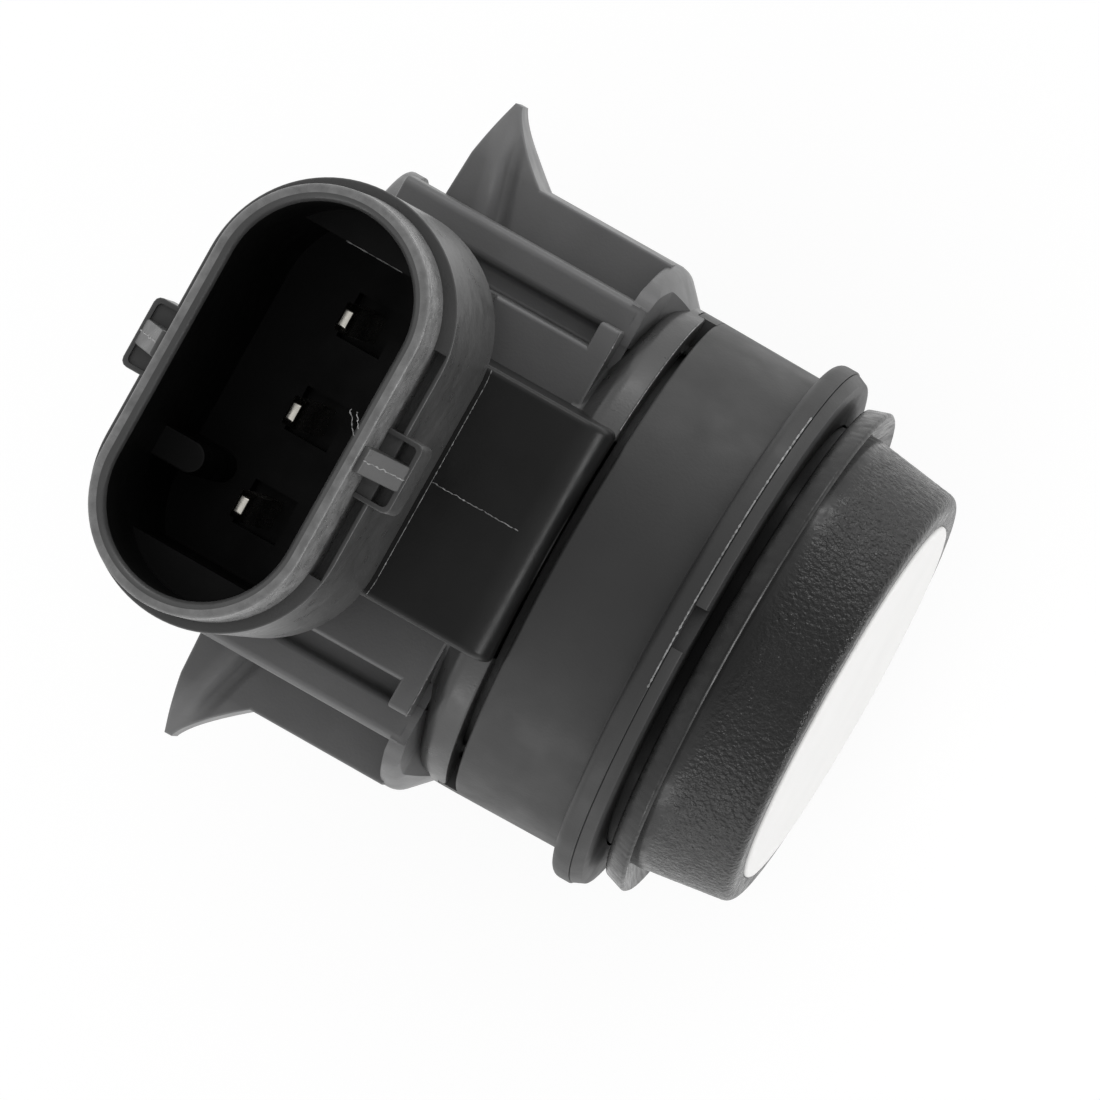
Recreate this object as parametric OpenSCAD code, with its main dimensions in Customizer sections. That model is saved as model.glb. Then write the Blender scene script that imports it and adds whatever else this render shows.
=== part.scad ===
// Ultrasonic parking sensor: a round transducer head in a sleeve, and a clip-in rear housing whose
// connector stands across the sensing axis. +X is the sensing axis, +Z the connector's side.
// The origin is on the sensing axis, at the middle of the front collar's land.

/* [Membrane cup] */
// Diameter of the sounding face
membrane_d = 15.6; // [14.8:0.1:16.4]
// Thickness of the sounding face
membrane_t = 0.8; // [0.6:0.05:1.2]
// Wall of the cup behind the face
cup_wall = 1.1; // [0.8:0.05:1.5]
// Length of the cup along the axis
cup_len = 8; // [7.4:0.1:8.6]
// Bevel round the sounding face
face_bevel = 0.15; // [0.05:0.05:0.3]
// How far the sounding face stands out of the soft ring
face_proud = 0.12; // [0:0.02:0.2]

/* [Transducer inside] */
// Diameter of the piezo disc
piezo_d = 8.6; // [8:0.1:10]
// Thickness of the piezo disc
piezo_t = 0.35; // [0.2:0.05:0.5]
// Length of the damping pad
pad_len = 2.2; // [1.5:0.1:2.6]
// Thickness of the contact carrier
carrier_t = 1.6; // [1.2:0.1:2]
// Diameter of a contact pin
contact_d = 0.5; // [0.4:0.05:0.7]
// Distance between the two contact pins
contact_pitch = 4; // [3:0.2:4.6]
// Diameter of a piezo lead
lead_d = 0.3; // [0.2:0.05:0.4]

/* [Decoupling ring] */
// Wall of the soft ring inside the sleeve
damper_wall = 1.45; // [1.3:0.05:1.7]
// Length of the seat behind the cup
damper_seat = 1.4; // [1:0.1:1.6]
// How far the seat reaches in under the cup
damper_under = 0.9; // [0.6:0.1:1]
// How far the clamped bead stands out
bead_h = 0.7; // [0.4:0.05:0.8]
// Width of the clamped bead
bead_w = 0.85; // [0.6:0.05:1]
// Length of the nose in front of the lip
nose_len = 3.78; // [3.4:0.02:4.2]
// Wall of the nose at its front rim
rim_wall = 1.24; // [1:0.02:1.4]
// How much the nose widens to its base
nose_taper = 0.47; // [0.2:0.01:0.6]
// Rounding of the front rim
rim_round = 0.5; // [0.2:0.05:0.7]
// How far the lip stands out from the nose's base
lip_h = 1.12; // [0.8:0.02:1.3]
// Distance from the lip's rear face to its crest
lip_crest = 0.84; // [0.7:0.02:1]
// How much the lip flares from its rear face to its crest
lip_flare = 0.28; // [0.1:0.02:0.4]
// Thickness of the lip's edge
lip_edge = 0.12; // [0.08:0.02:0.2]
// How far the groove in front of the lip reaches behind its crest
lip_groove = 0.45; // [0.2:0.05:0.6]

/* [Front sleeve] */
// Wall of the sleeve
sleeve_wall = 1.2; // [1:0.05:1.5]
// Length of the sleeve from the seam to the collar
sleeve_len = 4.72; // [4.4:0.02:5.4]
// Draft of the sleeve from the seam to the collar
sleeve_draft = 0.06; // [0:0.02:0.12]
// Bevel on the sleeve's rear edge
sleeve_bevel = 0.15; // [0.05:0.05:0.3]
// How far the collar stands out
collar_h = 0.87; // [0.6:0.01:1]
// Length of the collar's cylindrical land
collar_land = 0.86; // [0.6:0.02:1.2]
// Rounding behind the collar
collar_fillet = 0.15; // [0.05:0.05:0.25]
// Step down from the sleeve to its plug
plug_step = 1.15; // [1:0.05:1.3]
// Wall of the plug
plug_wall = 1.35; // [1:0.05:1.5]
// Half angle of a locating key beside the clips
key_angle = 10; // [6:1:14]
// Reach of a locating key into the rear housing
key_len = 0.3; // [0.2:0.05:0.6]

/* [Retaining ring] */
// Width of the retaining ring along the axis
retainer_w = 0.79; // [0.7:0.01:1]
// How much the ring narrows towards its front
retainer_slope = 0.22; // [0.1:0.02:0.4]
// Bevel of the ring's front edge
retainer_bevel = 0.28; // [0.1:0.02:0.36]
// Width of the notch on the connector's side
notch_w = 1.86; // [1.4:0.02:2.4]
// Depth of the notch at its deep end
notch_depth = 0.8; // [0.5:0.05:0.9]
// Depth of the notch at its shallow end
notch_shallow = 0.3; // [0.1:0.05:0.45]
// Gap between the ring and the lip
lip_gap = 0.3; // [0.2:0.02:0.4]

/* [Rear housing] */
// Width of the seam between the sleeve and the housing
seam_gap = 0.4; // [0.3:0.05:0.6]
// Length of the round band behind the seam
band_len = 1.1; // [0.9:0.05:1.4]
// Bevel of the round band's edges
band_bevel = 0.2; // [0.1:0.05:0.3]
// Thickness of the web between the band and the neck
band_web = 0.55; // [0.4:0.05:0.65]
// Width of the neck behind the band
neck_w = 0.95; // [0.7:0.05:1.2]
// Depth of the neck behind the band
neck_depth = 1.6; // [1.5:0.05:1.75]
// Length of the housing behind the seam
housing_len = 12.45; // [12:0.05:13.5]
// How far the side rails lie inside the sleeve's outline
side_step = 0.8; // [0.6:0.05:1]
// How far the wall under the rails lies inside them
under_step = 0.6; // [0.4:0.05:0.7]
// Wall of the housing round the electronics
housing_wall = 0.9; // [0.8:0.05:1.1]
// Height of the side rails' top above the axis
rail_z = 5.8; // [5.4:0.05:6.2]
// Height of the side rails
rail_h = 2.2; // [1.8:0.1:2.6]
// Rounding of the side rails
rail_round = 0.4; // [0.2:0.05:0.6]
// Thickness of the side rails
rail_t = 1.4; // [1.2:0.05:1.6]
// Width of the slots beside the roof
slot_w = 0.9; // [0.7:0.05:1.1]
// Depth of the slots
slot_depth = 0.8; // [0.6:0.05:1.2]
// Height of the flat roof
roof_z = 7.3; // [7.1:0.05:7.6]
// How much wider the roof's front end is, on each side
roof_flare = 1.1; // [0.9:0.05:1.3]
// Length of the roof's wide front end
roof_front_len = 0.87; // [0.6:0.01:1.2]
// Rounding along the roof's edges
roof_round = 0.2; // [0.1:0.05:0.4]
// How far the clip frame stands out from the band
frame_h = 1.1; // [0.9:0.05:1.2]
// Length of the clip frame's crest
frame_land = 0.57; // [0.4:0.01:0.8]
// Length of the clip frame's sloping front
frame_slope = 1.15; // [0.9:0.05:1.3]
// Bevel between the crest and the slope
frame_bevel = 0.15; // [0.1:0.01:0.25]
// Half height of the clip frame's front edge
frame_front_z = 2; // [1:0.1:3]
// How far the clip frame reaches behind the roof's front edge
frame_lap = 0.32; // [0.2:0.02:0.5]

/* [Clip arms] */
// Gap between an arm and the housing's wall
arm_gap = 0.4; // [0.3:0.05:0.5]
// How far an arm lies below the clip frame's crest
arm_inset = 0.05; // [0:0.01:0.1]
// Width of an arm
arm_w = 4.2; // [3.4:0.1:5]
// Length of an arm from the frame to its free end
arm_len = 8.8; // [8.2:0.1:9.4]
// Width across the tips of both barbs
clip_span = 28; // [27:0.1:28.8]
// Length of a barb's ramp
ramp_len = 2.3; // [2:0.1:2.8]
// Width of a barb's tip along the axis
tip_len = 0.3; // [0.1:0.05:0.5]
// Forward lean of a barb's locking face
barb_lean = 0.5; // [0.2:0.05:0.7]
// Forward lean of the arm's end below the barb
heel_lean = 0.1; // [0:0.05:0.2]
// How much wider the barb's head is than the arm, on each side
head_extra = 0.6; // [0.3:0.05:0.9]
// Length of the barb's wide head
head_len = 1.75; // [1.4:0.05:2]
// Height of the barb at its tip, across the arm
tip_w = 2.6; // [2:0.1:3.4]

/* [Connector] */
// Backward tilt of the connector in degrees
conn_tilt = 5.1; // [3:0.1:7]
// Place of the connector's middle in front of the housing's rear end
conn_inset = 2.26; // [2:0.02:2.5]
// Half width of the block under the connector
block_y = 5.08; // [4.8:0.02:5.4]
// Draft on the block's sides
block_draft = 0.15; // [0.05:0.05:0.3]
// Height of the block's top above the axis
block_z = 11.6; // [11.4:0.1:12]
// Rounding of the block's front edge
block_round = 1.4; // [0.8:0.1:1.8]
// Outer width of the connector's lower wall
base_w = 10; // [9.8:0.1:10.6]
// Outer length of the connector's lower wall
base_l = 18.2; // [17.9:0.1:18.8]
// Height of the connector's lower wall above the block
base_h = 8.45; // [7.8:0.05:9]
// Depth of the lower wall below the block's top
base_under = 0.5; // [0.4:0.05:0.8]
// How far the neck under the connector reaches forward of its middle
neck_front = 2.9; // [2.5:0.1:3.4]
// How far the neck leans out behind the housing
neck_reach = 2; // [1.5:0.1:2.4]
// Outer width of the connector's upper lip
mouth_w = 8.85; // [8.7:0.05:9.4]
// Outer length of the connector's upper lip
mouth_l = 17.7; // [17.4:0.05:17.8]
// Height of the upper lip
mouth_h = 2.8; // [2.4:0.05:3.2]
// Wall of the upper lip
mouth_wall = 0.66; // [0.5:0.02:0.8]
// Rounding of the mouth's rim
mouth_round = 0.22; // [0.1:0.02:0.24]
// Rounding of the shelf's outer edge
shelf_round = 0.25; // [0.1:0.05:0.3]
// Half length of the socket between its flat ends
socket_flat_y = 6.76; // [6.5:0.02:7]
// Height of the ledges over the flat ends
ledge_z = 6.2; // [5.6:0.1:6.8]
// Place of the coding rib along the socket
coding_y = -3.4; // [-4.2:0.1:-2.8]
// Width of the coding rib
coding_w = 1.3; // [1:0.05:1.6]
// How far the coding rib stands into the socket
coding_h = 2; // [1.4:0.05:2.2]
// Height of the coding rib
coding_z = 6; // [4:0.1:7]
// Width of a lug beside the mouth
lug_w = 3; // [2.6:0.05:3.4]
// How far a lug stands out from the lower wall
lug_out = 1; // [0.7:0.05:1.2]
// Height of a lug
lug_h = 1.9; // [1.4:0.05:2.4]
// How far a lug's top lies above the shelf
lug_rise = 0.15; // [0:0.05:0.4]
// Thickness of a lug's frame
lug_frame = 0.2; // [0.15:0.01:0.3]
// Depth of a lug's pockets
lug_pocket = 0.9; // [0.4:0.05:1.2]
// Width of a lug's ramp rib
rib_w = 1.1; // [0.9:0.05:1.3]
// How far the ramp rib stays below the mouth's rim
rib_drop = 0.3; // [0.2:0.05:0.8]

/* [Terminals] */
// Distance between two terminals
pin_pitch = 4.1; // [3.9:0.05:4.2]
// Width of a terminal blade
pin_w = 1.2; // [1:0.05:1.4]
// Thickness of a terminal blade
pin_t = 0.64; // [0.5:0.02:0.8]
// Height of the blades above the socket's floor
pin_h = 4.6; // [4:0.1:5.4]
// Length of a blade's tapered tip
pin_tip = 0.5; // [0.3:0.05:0.7]
// Width left at the end of the tip
pin_end_w = 0.72; // [0.5:0.02:0.9]
// Thickness left at the end of the tip
pin_end_t = 0.26; // [0.16:0.02:0.4]
// How far the blades reach through the circuit board
pin_through = 0.6; // [0.4:0.05:0.8]
// Size of the square pocket round each blade
pocket_w = 1.9; // [1.8:0.05:2.2]
// Depth of the pocket round each blade
pocket_depth = 0.9; // [0.5:0.05:1.2]

/* [Circuit board] */
// Length of the circuit board
board_len = 8.4; // [8:0.1:8.8]
// Clearance between the board's sides and the housing's bore
board_side_gap = 0.28; // [0.2:0.02:0.4]
// Thickness of the circuit board
board_t = 1; // [0.8:0.1:1.2]
// Height of the board's top above the axis
board_z = 2.6; // [2.2:0.1:3]
// Width of the guides under the board
guide_w = 1.2; // [1:0.05:1.4]
// Thickness of the guides under the board
guide_t = 0.7; // [0.5:0.05:1]
// How far the contacts lie on the board
contact_lap = 1.2; // [1:0.05:1.5]
// Gap between the cover's plug and the board
board_gap = 0.15; // [0.1:0.05:0.2]
// Width of the control chip
chip_w = 3.6; // [3:0.1:3.9]
// Height of the control chip
chip_h = 0.9; // [0.7:0.05:1.2]
// Diameter of the drive transformer
coil_d = 4.8; // [4:0.1:5]
// Height of the drive transformer
coil_h = 3.6; // [2.8:0.1:4]
// Flange of the transformer's core
coil_flange = 0.6; // [0.4:0.05:0.8]
// Diameter of the core's post
coil_post_d = 2.2; // [1.8:0.1:2.6]
// Depth of the winding below the core's flanges
winding_inset = 0.25; // [0.1:0.05:0.4]
// Length of the storage capacitor
store_len = 3.5; // [3:0.1:4]
// Width of the storage capacitor
store_w = 2.8; // [2.4:0.1:3.2]
// Height of the storage capacitor
store_h = 1.9; // [1.5:0.1:2.2]
// Length of a small chip part
small_len = 1.6; // [1.4:0.05:1.8]
// Width of a small chip part
small_w = 0.8; // [0.6:0.05:1]
// Height of a small capacitor
cap_h = 0.8; // [0.6:0.05:1]
// Height of a small resistor
res_h = 0.45; // [0.35:0.05:0.6]
// Length of a small part's end cap
small_end = 0.35; // [0.25:0.05:0.4]
// How far an end cap stands out
small_skin = 0.03; // [0.02:0.01:0.06]
// Distance between neighbouring small parts
small_pitch = 1.5; // [1.3:0.05:1.7]

/* [Rear cover] */
// Thickness of the cover's lip
cover_t = 0.65; // [0.5:0.05:0.9]
// Length of the cover's plug
cover_plug = 0.6; // [0.5:0.05:0.8]
// Wall of the cover's plug
cover_plug_wall = 1; // [0.8:0.05:1.4]
// Bevel of the cover's edge
cover_bevel = 0.15; // [0.1:0.05:0.25]

/* [Fits] */
// Radial clearance between fitted pieces
fit_gap = 0.05; // [0.03:0.01:0.08]
// Space between neighbouring parts on the circuit board
part_gap = 0.3; // [0.2:0.05:0.4]
// Clearance round moulded-in and pressed-in metal
pin_gap = 0.02; // [0.01:0.01:0.04]
// Radial clearance of a blade's hole in the circuit board
hole_gap = 0.12; // [0.1:0.01:0.2]
// End clearance of the sleeve's plug in the housing
end_gap = 0.1; // [0.05:0.05:0.15]

/* [Hidden] */
$fn = 96;
// Overlap that joins shapes of one moulding, and overshoot of cuts
eps = 0.02;
over = 1;
big = 60;

// Radii, from the cup outwards
cup_r = membrane_d / 2;
cup_in_r = cup_r - cup_wall;
damper_r = cup_r + damper_wall;
bore_front_r = damper_r + fit_gap;
sleeve_r = bore_front_r + sleeve_wall;
collar_r = sleeve_r + collar_h;
bead_r = damper_r + bead_h;
rim_r = cup_r + rim_wall;
nose_r = rim_r + nose_taper;
lip_r = nose_r + lip_h;
retainer_in_r = damper_r + 2 * fit_gap;
plug_r = sleeve_r - plug_step;
plug_in_r = plug_r - plug_wall;
frame_r = sleeve_r + frame_h;
neck_r = sleeve_r - neck_depth;

// Half widths of the rear housing, from the sleeve inwards
side_y = sleeve_r - side_step;
wall_y = side_y - under_step;
bore_r = wall_y - housing_wall;
slot_y = side_y - rail_t;
roof_y = slot_y - slot_w;
roof_front_y = roof_y + roof_flare;
arm_in_y = wall_y + arm_gap;
arm_out_y = frame_r - arm_inset;
barb_y = clip_span / 2;
barb_h = barb_y - arm_out_y;

// Stations along the sensing axis, from the collar forwards
joint_x = collar_land / 2;
retainer_x = joint_x + retainer_w;
lip_x = retainer_x + lip_gap;
crest_x = lip_x + lip_crest;
nose_x = crest_x + lip_edge;
ring_x = nose_x + nose_len;
face_x = ring_x + face_proud;
cup_x = face_x - cup_len;
damper_x = cup_x - damper_seat;
piezo_front = face_x - membrane_t;
pad_front = piezo_front - piezo_t;
carrier_front = pad_front - pad_len;
carrier_rear = carrier_front - carrier_t;

// Stations along the sensing axis, from the collar backwards
collar_rear = -collar_land / 2;
seam_x = collar_rear - sleeve_len;
band_x = seam_x - seam_gap;
band_rear = band_x - band_len;
roof_x = band_rear - neck_w;
frame_rear = roof_x - frame_lap;
roof_front_rear = roof_x - roof_front_len;
housing_rear = band_x - housing_len;
cover_rear = housing_rear - cover_t;
bore_step_x = band_rear + band_web;
plug_x = bore_step_x + end_gap;

// The circuit board sits against the cover's plug, and the contacts lie on it
board_rear = housing_rear + cover_plug + board_gap;
board_front = board_rear + board_len;
board_under = board_z - board_t;
contact_z = board_z + contact_d / 2;
board_half = sqrt(pow(bore_r, 2) - pow(board_z, 2)) - board_side_gap;
small_x = board_front - small_len;
small_y = contact_pitch / 2 + contact_d / 2 + part_gap + small_w / 2 + small_skin;

// Connector values in its own tilted frame, whose origin is the middle of the socket's floor
conn_x = housing_rear + conn_inset;
mouth_z = base_h + mouth_h;
socket_w = mouth_w - 2 * mouth_wall;
socket_l = mouth_l - 2 * mouth_wall;
pin_bottom = (block_z - board_under + pin_through) / cos(conn_tilt);

// Solid of revolution about the sensing axis, from a flat profile of radius and x
module turned(sweep = 360) {
    rotate([0, 90, 0]) rotate_extrude(angle = sweep) children();
}

// Part of a turned band, centred on +Y
module turned_sector(half) {
    rotate([90 - half, 0, 0]) turned(2 * half) children();
}

// Rectangle in a profile between two radii and two stations
module span(r0, x0, r1, x1) {
    translate([r0, x0]) square([r1 - r0, x1 - x0]);
}

// Flat shape of y and z, drawn out along X
module along_x(x0, x1) {
    translate([x0, 0, 0]) rotate([90, 0, 90]) linear_extrude(x1 - x0) children();
}

// Flat shape of x and z, drawn out along Y about the middle
module along_y(w) {
    translate([0, w / 2, 0]) rotate([90, 0, 0]) linear_extrude(w) children();
}

// Box between two corners
module block(a, b) {
    translate(a) cube(b - a);
}

// Straight round bar along X
module bar_x(x0, x1, r, y, z) {
    translate([x0, y, z]) rotate([0, 90, 0]) cylinder(h = x1 - x0, r = r);
}

// Oval outline with half-round ends
module oval(w, l) {
    square([w, l - w], center = true);
    for (s = [-1, 1]) translate([0, s * (l - w) / 2]) circle(d = w);
}

// Profile of radius and height, swept round the straight sides and half-round ends of an oval
module oval_sweep(w, l) {
    half = (l - w) / 2;
    for (a = [0, 180]) rotate([0, 0, a]) {
        translate([0, half, 0]) rotate_extrude(angle = 180) children();
        translate([0, half, 0]) rotate([90, 0, 0]) linear_extrude(2 * half) children();
    }
}

// Rectangle from the axis with its outer upper corner rounded
module rounded_band(r, z0, z1, round) {
    tall = z1 - z0;
    translate([0, z0]) {
        square([r - round, tall]);
        square([r, tall - round]);
        intersection() {
            translate([r - round, tall - round]) circle(round);
            square([r, tall]);
        }
    }
}

// Places its children in the connector's tilted frame
module connector_frame() {
    translate([conn_x, 0, block_z]) rotate([0, -conn_tilt, 0]) children();
}

// Section of the housing behind the clip frame: round below, with rails, slots and a flat roof above
module housing_section() {
    difference() {
        union() {
            circle(wall_y);
            translate([-wall_y, 0]) square([2 * wall_y, rail_z - rail_round]);
            translate([-side_y, rail_z - rail_h]) square([2 * side_y, rail_h - rail_round]);
            translate([-side_y + rail_round, 0]) square([2 * (side_y - rail_round), rail_z]);
            for (s = [-1, 1])
                translate([s * (side_y - rail_round), rail_z - rail_round]) circle(rail_round);
        }
        for (s = [0, 1]) mirror([s, 0]) translate([roof_y - roof_round, rail_z - slot_depth])
            square([slot_y - roof_y + roof_round, slot_depth + over]);
        translate([-side_y, rail_z]) square([2 * side_y, side_y]);
    }
    roof_section(roof_y);
}

// Flat roof over the housing, with rounded edges
module roof_section(half) {
    square_z = roof_z - roof_round;
    translate([-half, 0]) square([2 * half, square_z]);
    translate([-half + roof_round, 0]) square([2 * (half - roof_round), roof_z]);
    for (s = [-1, 1]) translate([s * (half - roof_round), square_z]) circle(roof_round);
}

// Clip frame: two arcs beside the arms, with a sloping front
module clip_frame() {
    slope_x = frame_rear + frame_land;
    front_x = slope_x + frame_slope;
    intersection() {
        turned() polygon([
            [bore_r, frame_rear],
            [frame_r, frame_rear],
            [frame_r, slope_x],
            [frame_r - frame_bevel, slope_x + 2 * frame_bevel],
            [sleeve_r, front_x],
            [bore_r, front_x]
        ]);
        along_y(big) polygon([
            [frame_rear, -rail_z],
            [slope_x, -rail_z],
            [front_x, -frame_front_z],
            [front_x, frame_front_z],
            [slope_x, rail_z],
            [frame_rear, rail_z]
        ]);
        for (s = [0, 1]) mirror([0, s, 0]) block([-big, roof_front_y, -big], [0, big, big]);
    }
}

// One clip arm on the +Y side, with its barb
module clip_arm() {
    free_x = frame_rear - arm_len;
    tip_x = free_x + barb_lean;
    ramp_x = tip_x + tip_len + ramp_len;
    head_x = free_x + head_len;
    head_w = arm_w + 2 * head_extra;
    intersection() {
        union() {
            linear_extrude(arm_w, center = true) polygon([
                [frame_rear + eps, arm_in_y],
                [frame_rear + eps, arm_out_y],
                [ramp_x, arm_out_y],
                [tip_x + tip_len, barb_y],
                [tip_x, barb_y],
                [free_x + heel_lean, arm_out_y],
                [free_x, arm_in_y]
            ]);
            linear_extrude(head_w, center = true) polygon([
                [head_x, arm_in_y],
                [head_x, arm_out_y + (ramp_x - head_x) * barb_h / ramp_len],
                [tip_x + tip_len, barb_y],
                [tip_x, barb_y],
                [free_x + heel_lean, arm_out_y],
                [free_x, arm_in_y]
            ]);
        }
        along_x(free_x - over, frame_rear + over) polygon([
            [arm_in_y, -head_w / 2],
            [arm_out_y, -head_w / 2],
            [barb_y, -tip_w / 2],
            [barb_y, tip_w / 2],
            [arm_out_y, head_w / 2],
            [arm_in_y, head_w / 2]
        ]);
    }
}

// Block between the connector and the seam, with a rounded front edge and drafted sides
module connector_block() {
    intersection() {
        along_y(big) {
            translate([band_x - block_round, 0]) square([block_round, block_z - block_round]);
            translate([conn_x, 0]) square([band_x - block_round - conn_x, block_z]);
            translate([band_x - block_round, block_z - block_round]) circle(block_round);
        }
        along_x(-big, big) polygon([
            [-block_y - block_draft, 0],
            [block_y + block_draft, 0],
            [block_y, block_z],
            [-block_y, block_z]
        ]);
    }
}

// Neck between the roof and the connector's wide base
module connector_neck() {
    intersection() {
        connector_frame() block(
            [-big, -roof_y, -block_z],
            [neck_front, roof_y, eps - base_under]
        );
        along_y(big) polygon([
            [housing_rear, 0],
            [band_x, 0],
            [band_x, big],
            [housing_rear - neck_reach, big],
            [housing_rear - neck_reach, block_z - base_under],
            [housing_rear, side_y + end_gap]
        ]);
    }
}

// Outside of the connector: lower wall with its shelf, and the upper lip
module connector_outside() {
    oval_sweep(base_w, base_l) rounded_band(base_w / 2, -base_under, base_h, shelf_round);
    oval_sweep(mouth_w, mouth_l) rounded_band(mouth_w / 2, 0, mouth_z, mouth_round);
    for (s = [0, 1]) mirror([s, 0, 0]) connector_lug();
}

// One lug on the +X side: a pocketed frame under a ramp rib
module connector_lug() {
    x0 = mouth_w / 2 - mouth_wall / 2;
    x1 = base_w / 2 + lug_out;
    top = base_h + lug_rise;
    difference() {
        block([x0, -lug_w / 2, top - lug_h], [x1, lug_w / 2, top]);
        block(
            [mouth_w / 2, -lug_w / 2 + lug_frame, top - lug_pocket],
            [x1 - lug_frame, lug_w / 2 - lug_frame, top + over]
        );
    }
    along_y(rib_w) polygon([
        [x0, top - lug_h],
        [x1, top - lug_h],
        [x1, top - lug_frame],
        [mouth_w / 2 + lug_frame, mouth_z - rib_drop],
        [x0, mouth_z - rib_drop]
    ]);
}

// Hollow of the connector, with flat ends below the ledges and a rounded rim
module connector_hollow() {
    difference() {
        union() {
            translate([0, 0, ledge_z]) linear_extrude(mouth_z) oval(socket_w, socket_l);
            intersection() {
                linear_extrude(ledge_z + eps) oval(socket_w, socket_l);
                translate([0, 0, ledge_z / 2]) cube([big, 2 * socket_flat_y, big], center = true);
            }
            oval_sweep(socket_w, socket_l) difference() {
                translate([0, mouth_z - mouth_round]) square([socket_w / 2 + mouth_round, over]);
                translate([socket_w / 2 + mouth_round, mouth_z - mouth_round]) circle(mouth_round);
            }
        }
        translate([-socket_w / 2, coding_y, 0]) linear_extrude(coding_z) {
            translate([-over, -coding_w / 2]) square([coding_h + over - coding_w / 2, coding_w]);
            translate([coding_h - coding_w / 2, 0]) circle(d = coding_w);
        }
    }
    for (k = [-1:1]) translate([-pocket_w / 2, k * pin_pitch - pocket_w / 2, -pocket_depth])
        cube([pocket_w, pocket_w, pocket_depth + eps]);
}

// One terminal blade in the connector's frame, made a little larger by grow
module blade(k, grow = 0) {
    translate([0, k * pin_pitch, 0]) intersection() {
        along_y(pin_w + 2 * grow) blade_outline(pin_t / 2 + grow, pin_end_t / 2 + grow);
        along_x(-pin_t, pin_t) blade_outline(pin_w / 2 + grow, pin_end_w / 2 + grow);
    }
}

// Outline of a blade seen on one side, tapering to its tip
module blade_outline(half, end) {
    polygon([
        [-half, -pin_bottom],
        [half, -pin_bottom],
        [half, pin_h - pin_tip],
        [end, pin_h],
        [-end, pin_h],
        [-half, pin_h - pin_tip]
    ]);
}

// Locating keys on both sides, made a little larger by grow where they are cut from the band
module locating_keys(out_r, grow = 0) {
    for (a = [0, 180]) rotate([a, 0, 0]) turned_sector(key_angle + asin(grow / sleeve_r))
        span(plug_r - eps, band_x - key_len - grow, out_r, seam_x + sleeve_bevel);
}

module rear_housing() {
    color("#2b2c2e") difference() {
        union() {
            turned() {
                span(0, frame_rear, neck_r, band_x);
                polygon([
                    [0, band_rear],
                    [sleeve_r - band_bevel, band_rear],
                    [sleeve_r, band_rear + band_bevel],
                    [sleeve_r, band_x - band_bevel / 2],
                    [sleeve_r - band_bevel / 2, band_x],
                    [0, band_x]
                ]);
            }
            along_x(housing_rear, frame_rear + eps) housing_section();
            along_x(roof_front_rear, roof_x) roof_section(roof_front_y);
            clip_frame();
            for (s = [0, 1]) mirror([0, s, 0]) clip_arm();
            connector_block();
            connector_neck();
            connector_frame() connector_outside();
        }
        turned() {
            span(0, housing_rear - over, bore_r, band_x);
            span(0, bore_step_x, plug_r + fit_gap, band_x + over);
        }
        locating_keys(sleeve_r + over, fit_gap);
        connector_frame() {
            connector_hollow();
            for (k = [-1:1]) blade(k, pin_gap);
        }
    }
    color("#2b2c2e") board_guides();
}

// Two guides inside the housing that carry the circuit board
module board_guides() {
    intersection() {
        for (s = [0, 1]) mirror([0, s, 0]) block(
            [board_rear, board_half - guide_w, board_under - guide_t],
            [board_front, side_y, board_under]
        );
        turned() span(0, board_rear, bore_r + eps, board_front);
    }
}

module rear_cover() {
    color("#2e2f31") turned() {
        polygon([
            [0, cover_rear],
            [side_y - cover_bevel, cover_rear],
            [side_y, cover_rear + cover_bevel],
            [side_y, housing_rear],
            [0, housing_rear]
        ]);
        span(
            bore_r - fit_gap - cover_plug_wall, housing_rear - eps,
            bore_r - fit_gap, housing_rear + cover_plug
        );
    }
}

module front_sleeve() {
    color("#303134") {
        turned() difference() {
            union() {
                span(plug_in_r, plug_x, plug_r, seam_x + eps);
                polygon([
                    [plug_in_r, seam_x],
                    [sleeve_r - sleeve_bevel, seam_x],
                    [sleeve_r, seam_x + sleeve_bevel],
                    [sleeve_r - sleeve_draft, joint_x],
                    [plug_in_r, joint_x]
                ]);
                span(plug_in_r, collar_rear, collar_r, joint_x);
                difference() {
                    span(plug_in_r, collar_rear - collar_fillet, sleeve_r + collar_fillet, collar_rear + eps);
                    translate([sleeve_r + collar_fillet, collar_rear - collar_fillet]) circle(collar_fillet);
                }
            }
            span(0, damper_x, bore_front_r, joint_x + over);
            span(0, joint_x - bead_w, bead_r + fit_gap, joint_x + over);
        }
        locating_keys(sleeve_r);
    }
}

module retaining_ring() {
    out_r = collar_r - fit_gap;
    color("#2c2d2f") difference() {
        turned() polygon([
            [retainer_in_r, joint_x],
            [out_r, joint_x],
            [out_r - retainer_slope, retainer_x - retainer_bevel],
            [out_r - retainer_slope - retainer_bevel, retainer_x],
            [retainer_in_r, retainer_x]
        ]);
        along_x(joint_x - over, retainer_x + over) polygon([
            [-notch_w / 2, collar_r - notch_shallow],
            [notch_w / 2, collar_r - notch_depth],
            [notch_w / 2, collar_r + over],
            [-notch_w / 2, collar_r + over]
        ]);
    }
}

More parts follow.
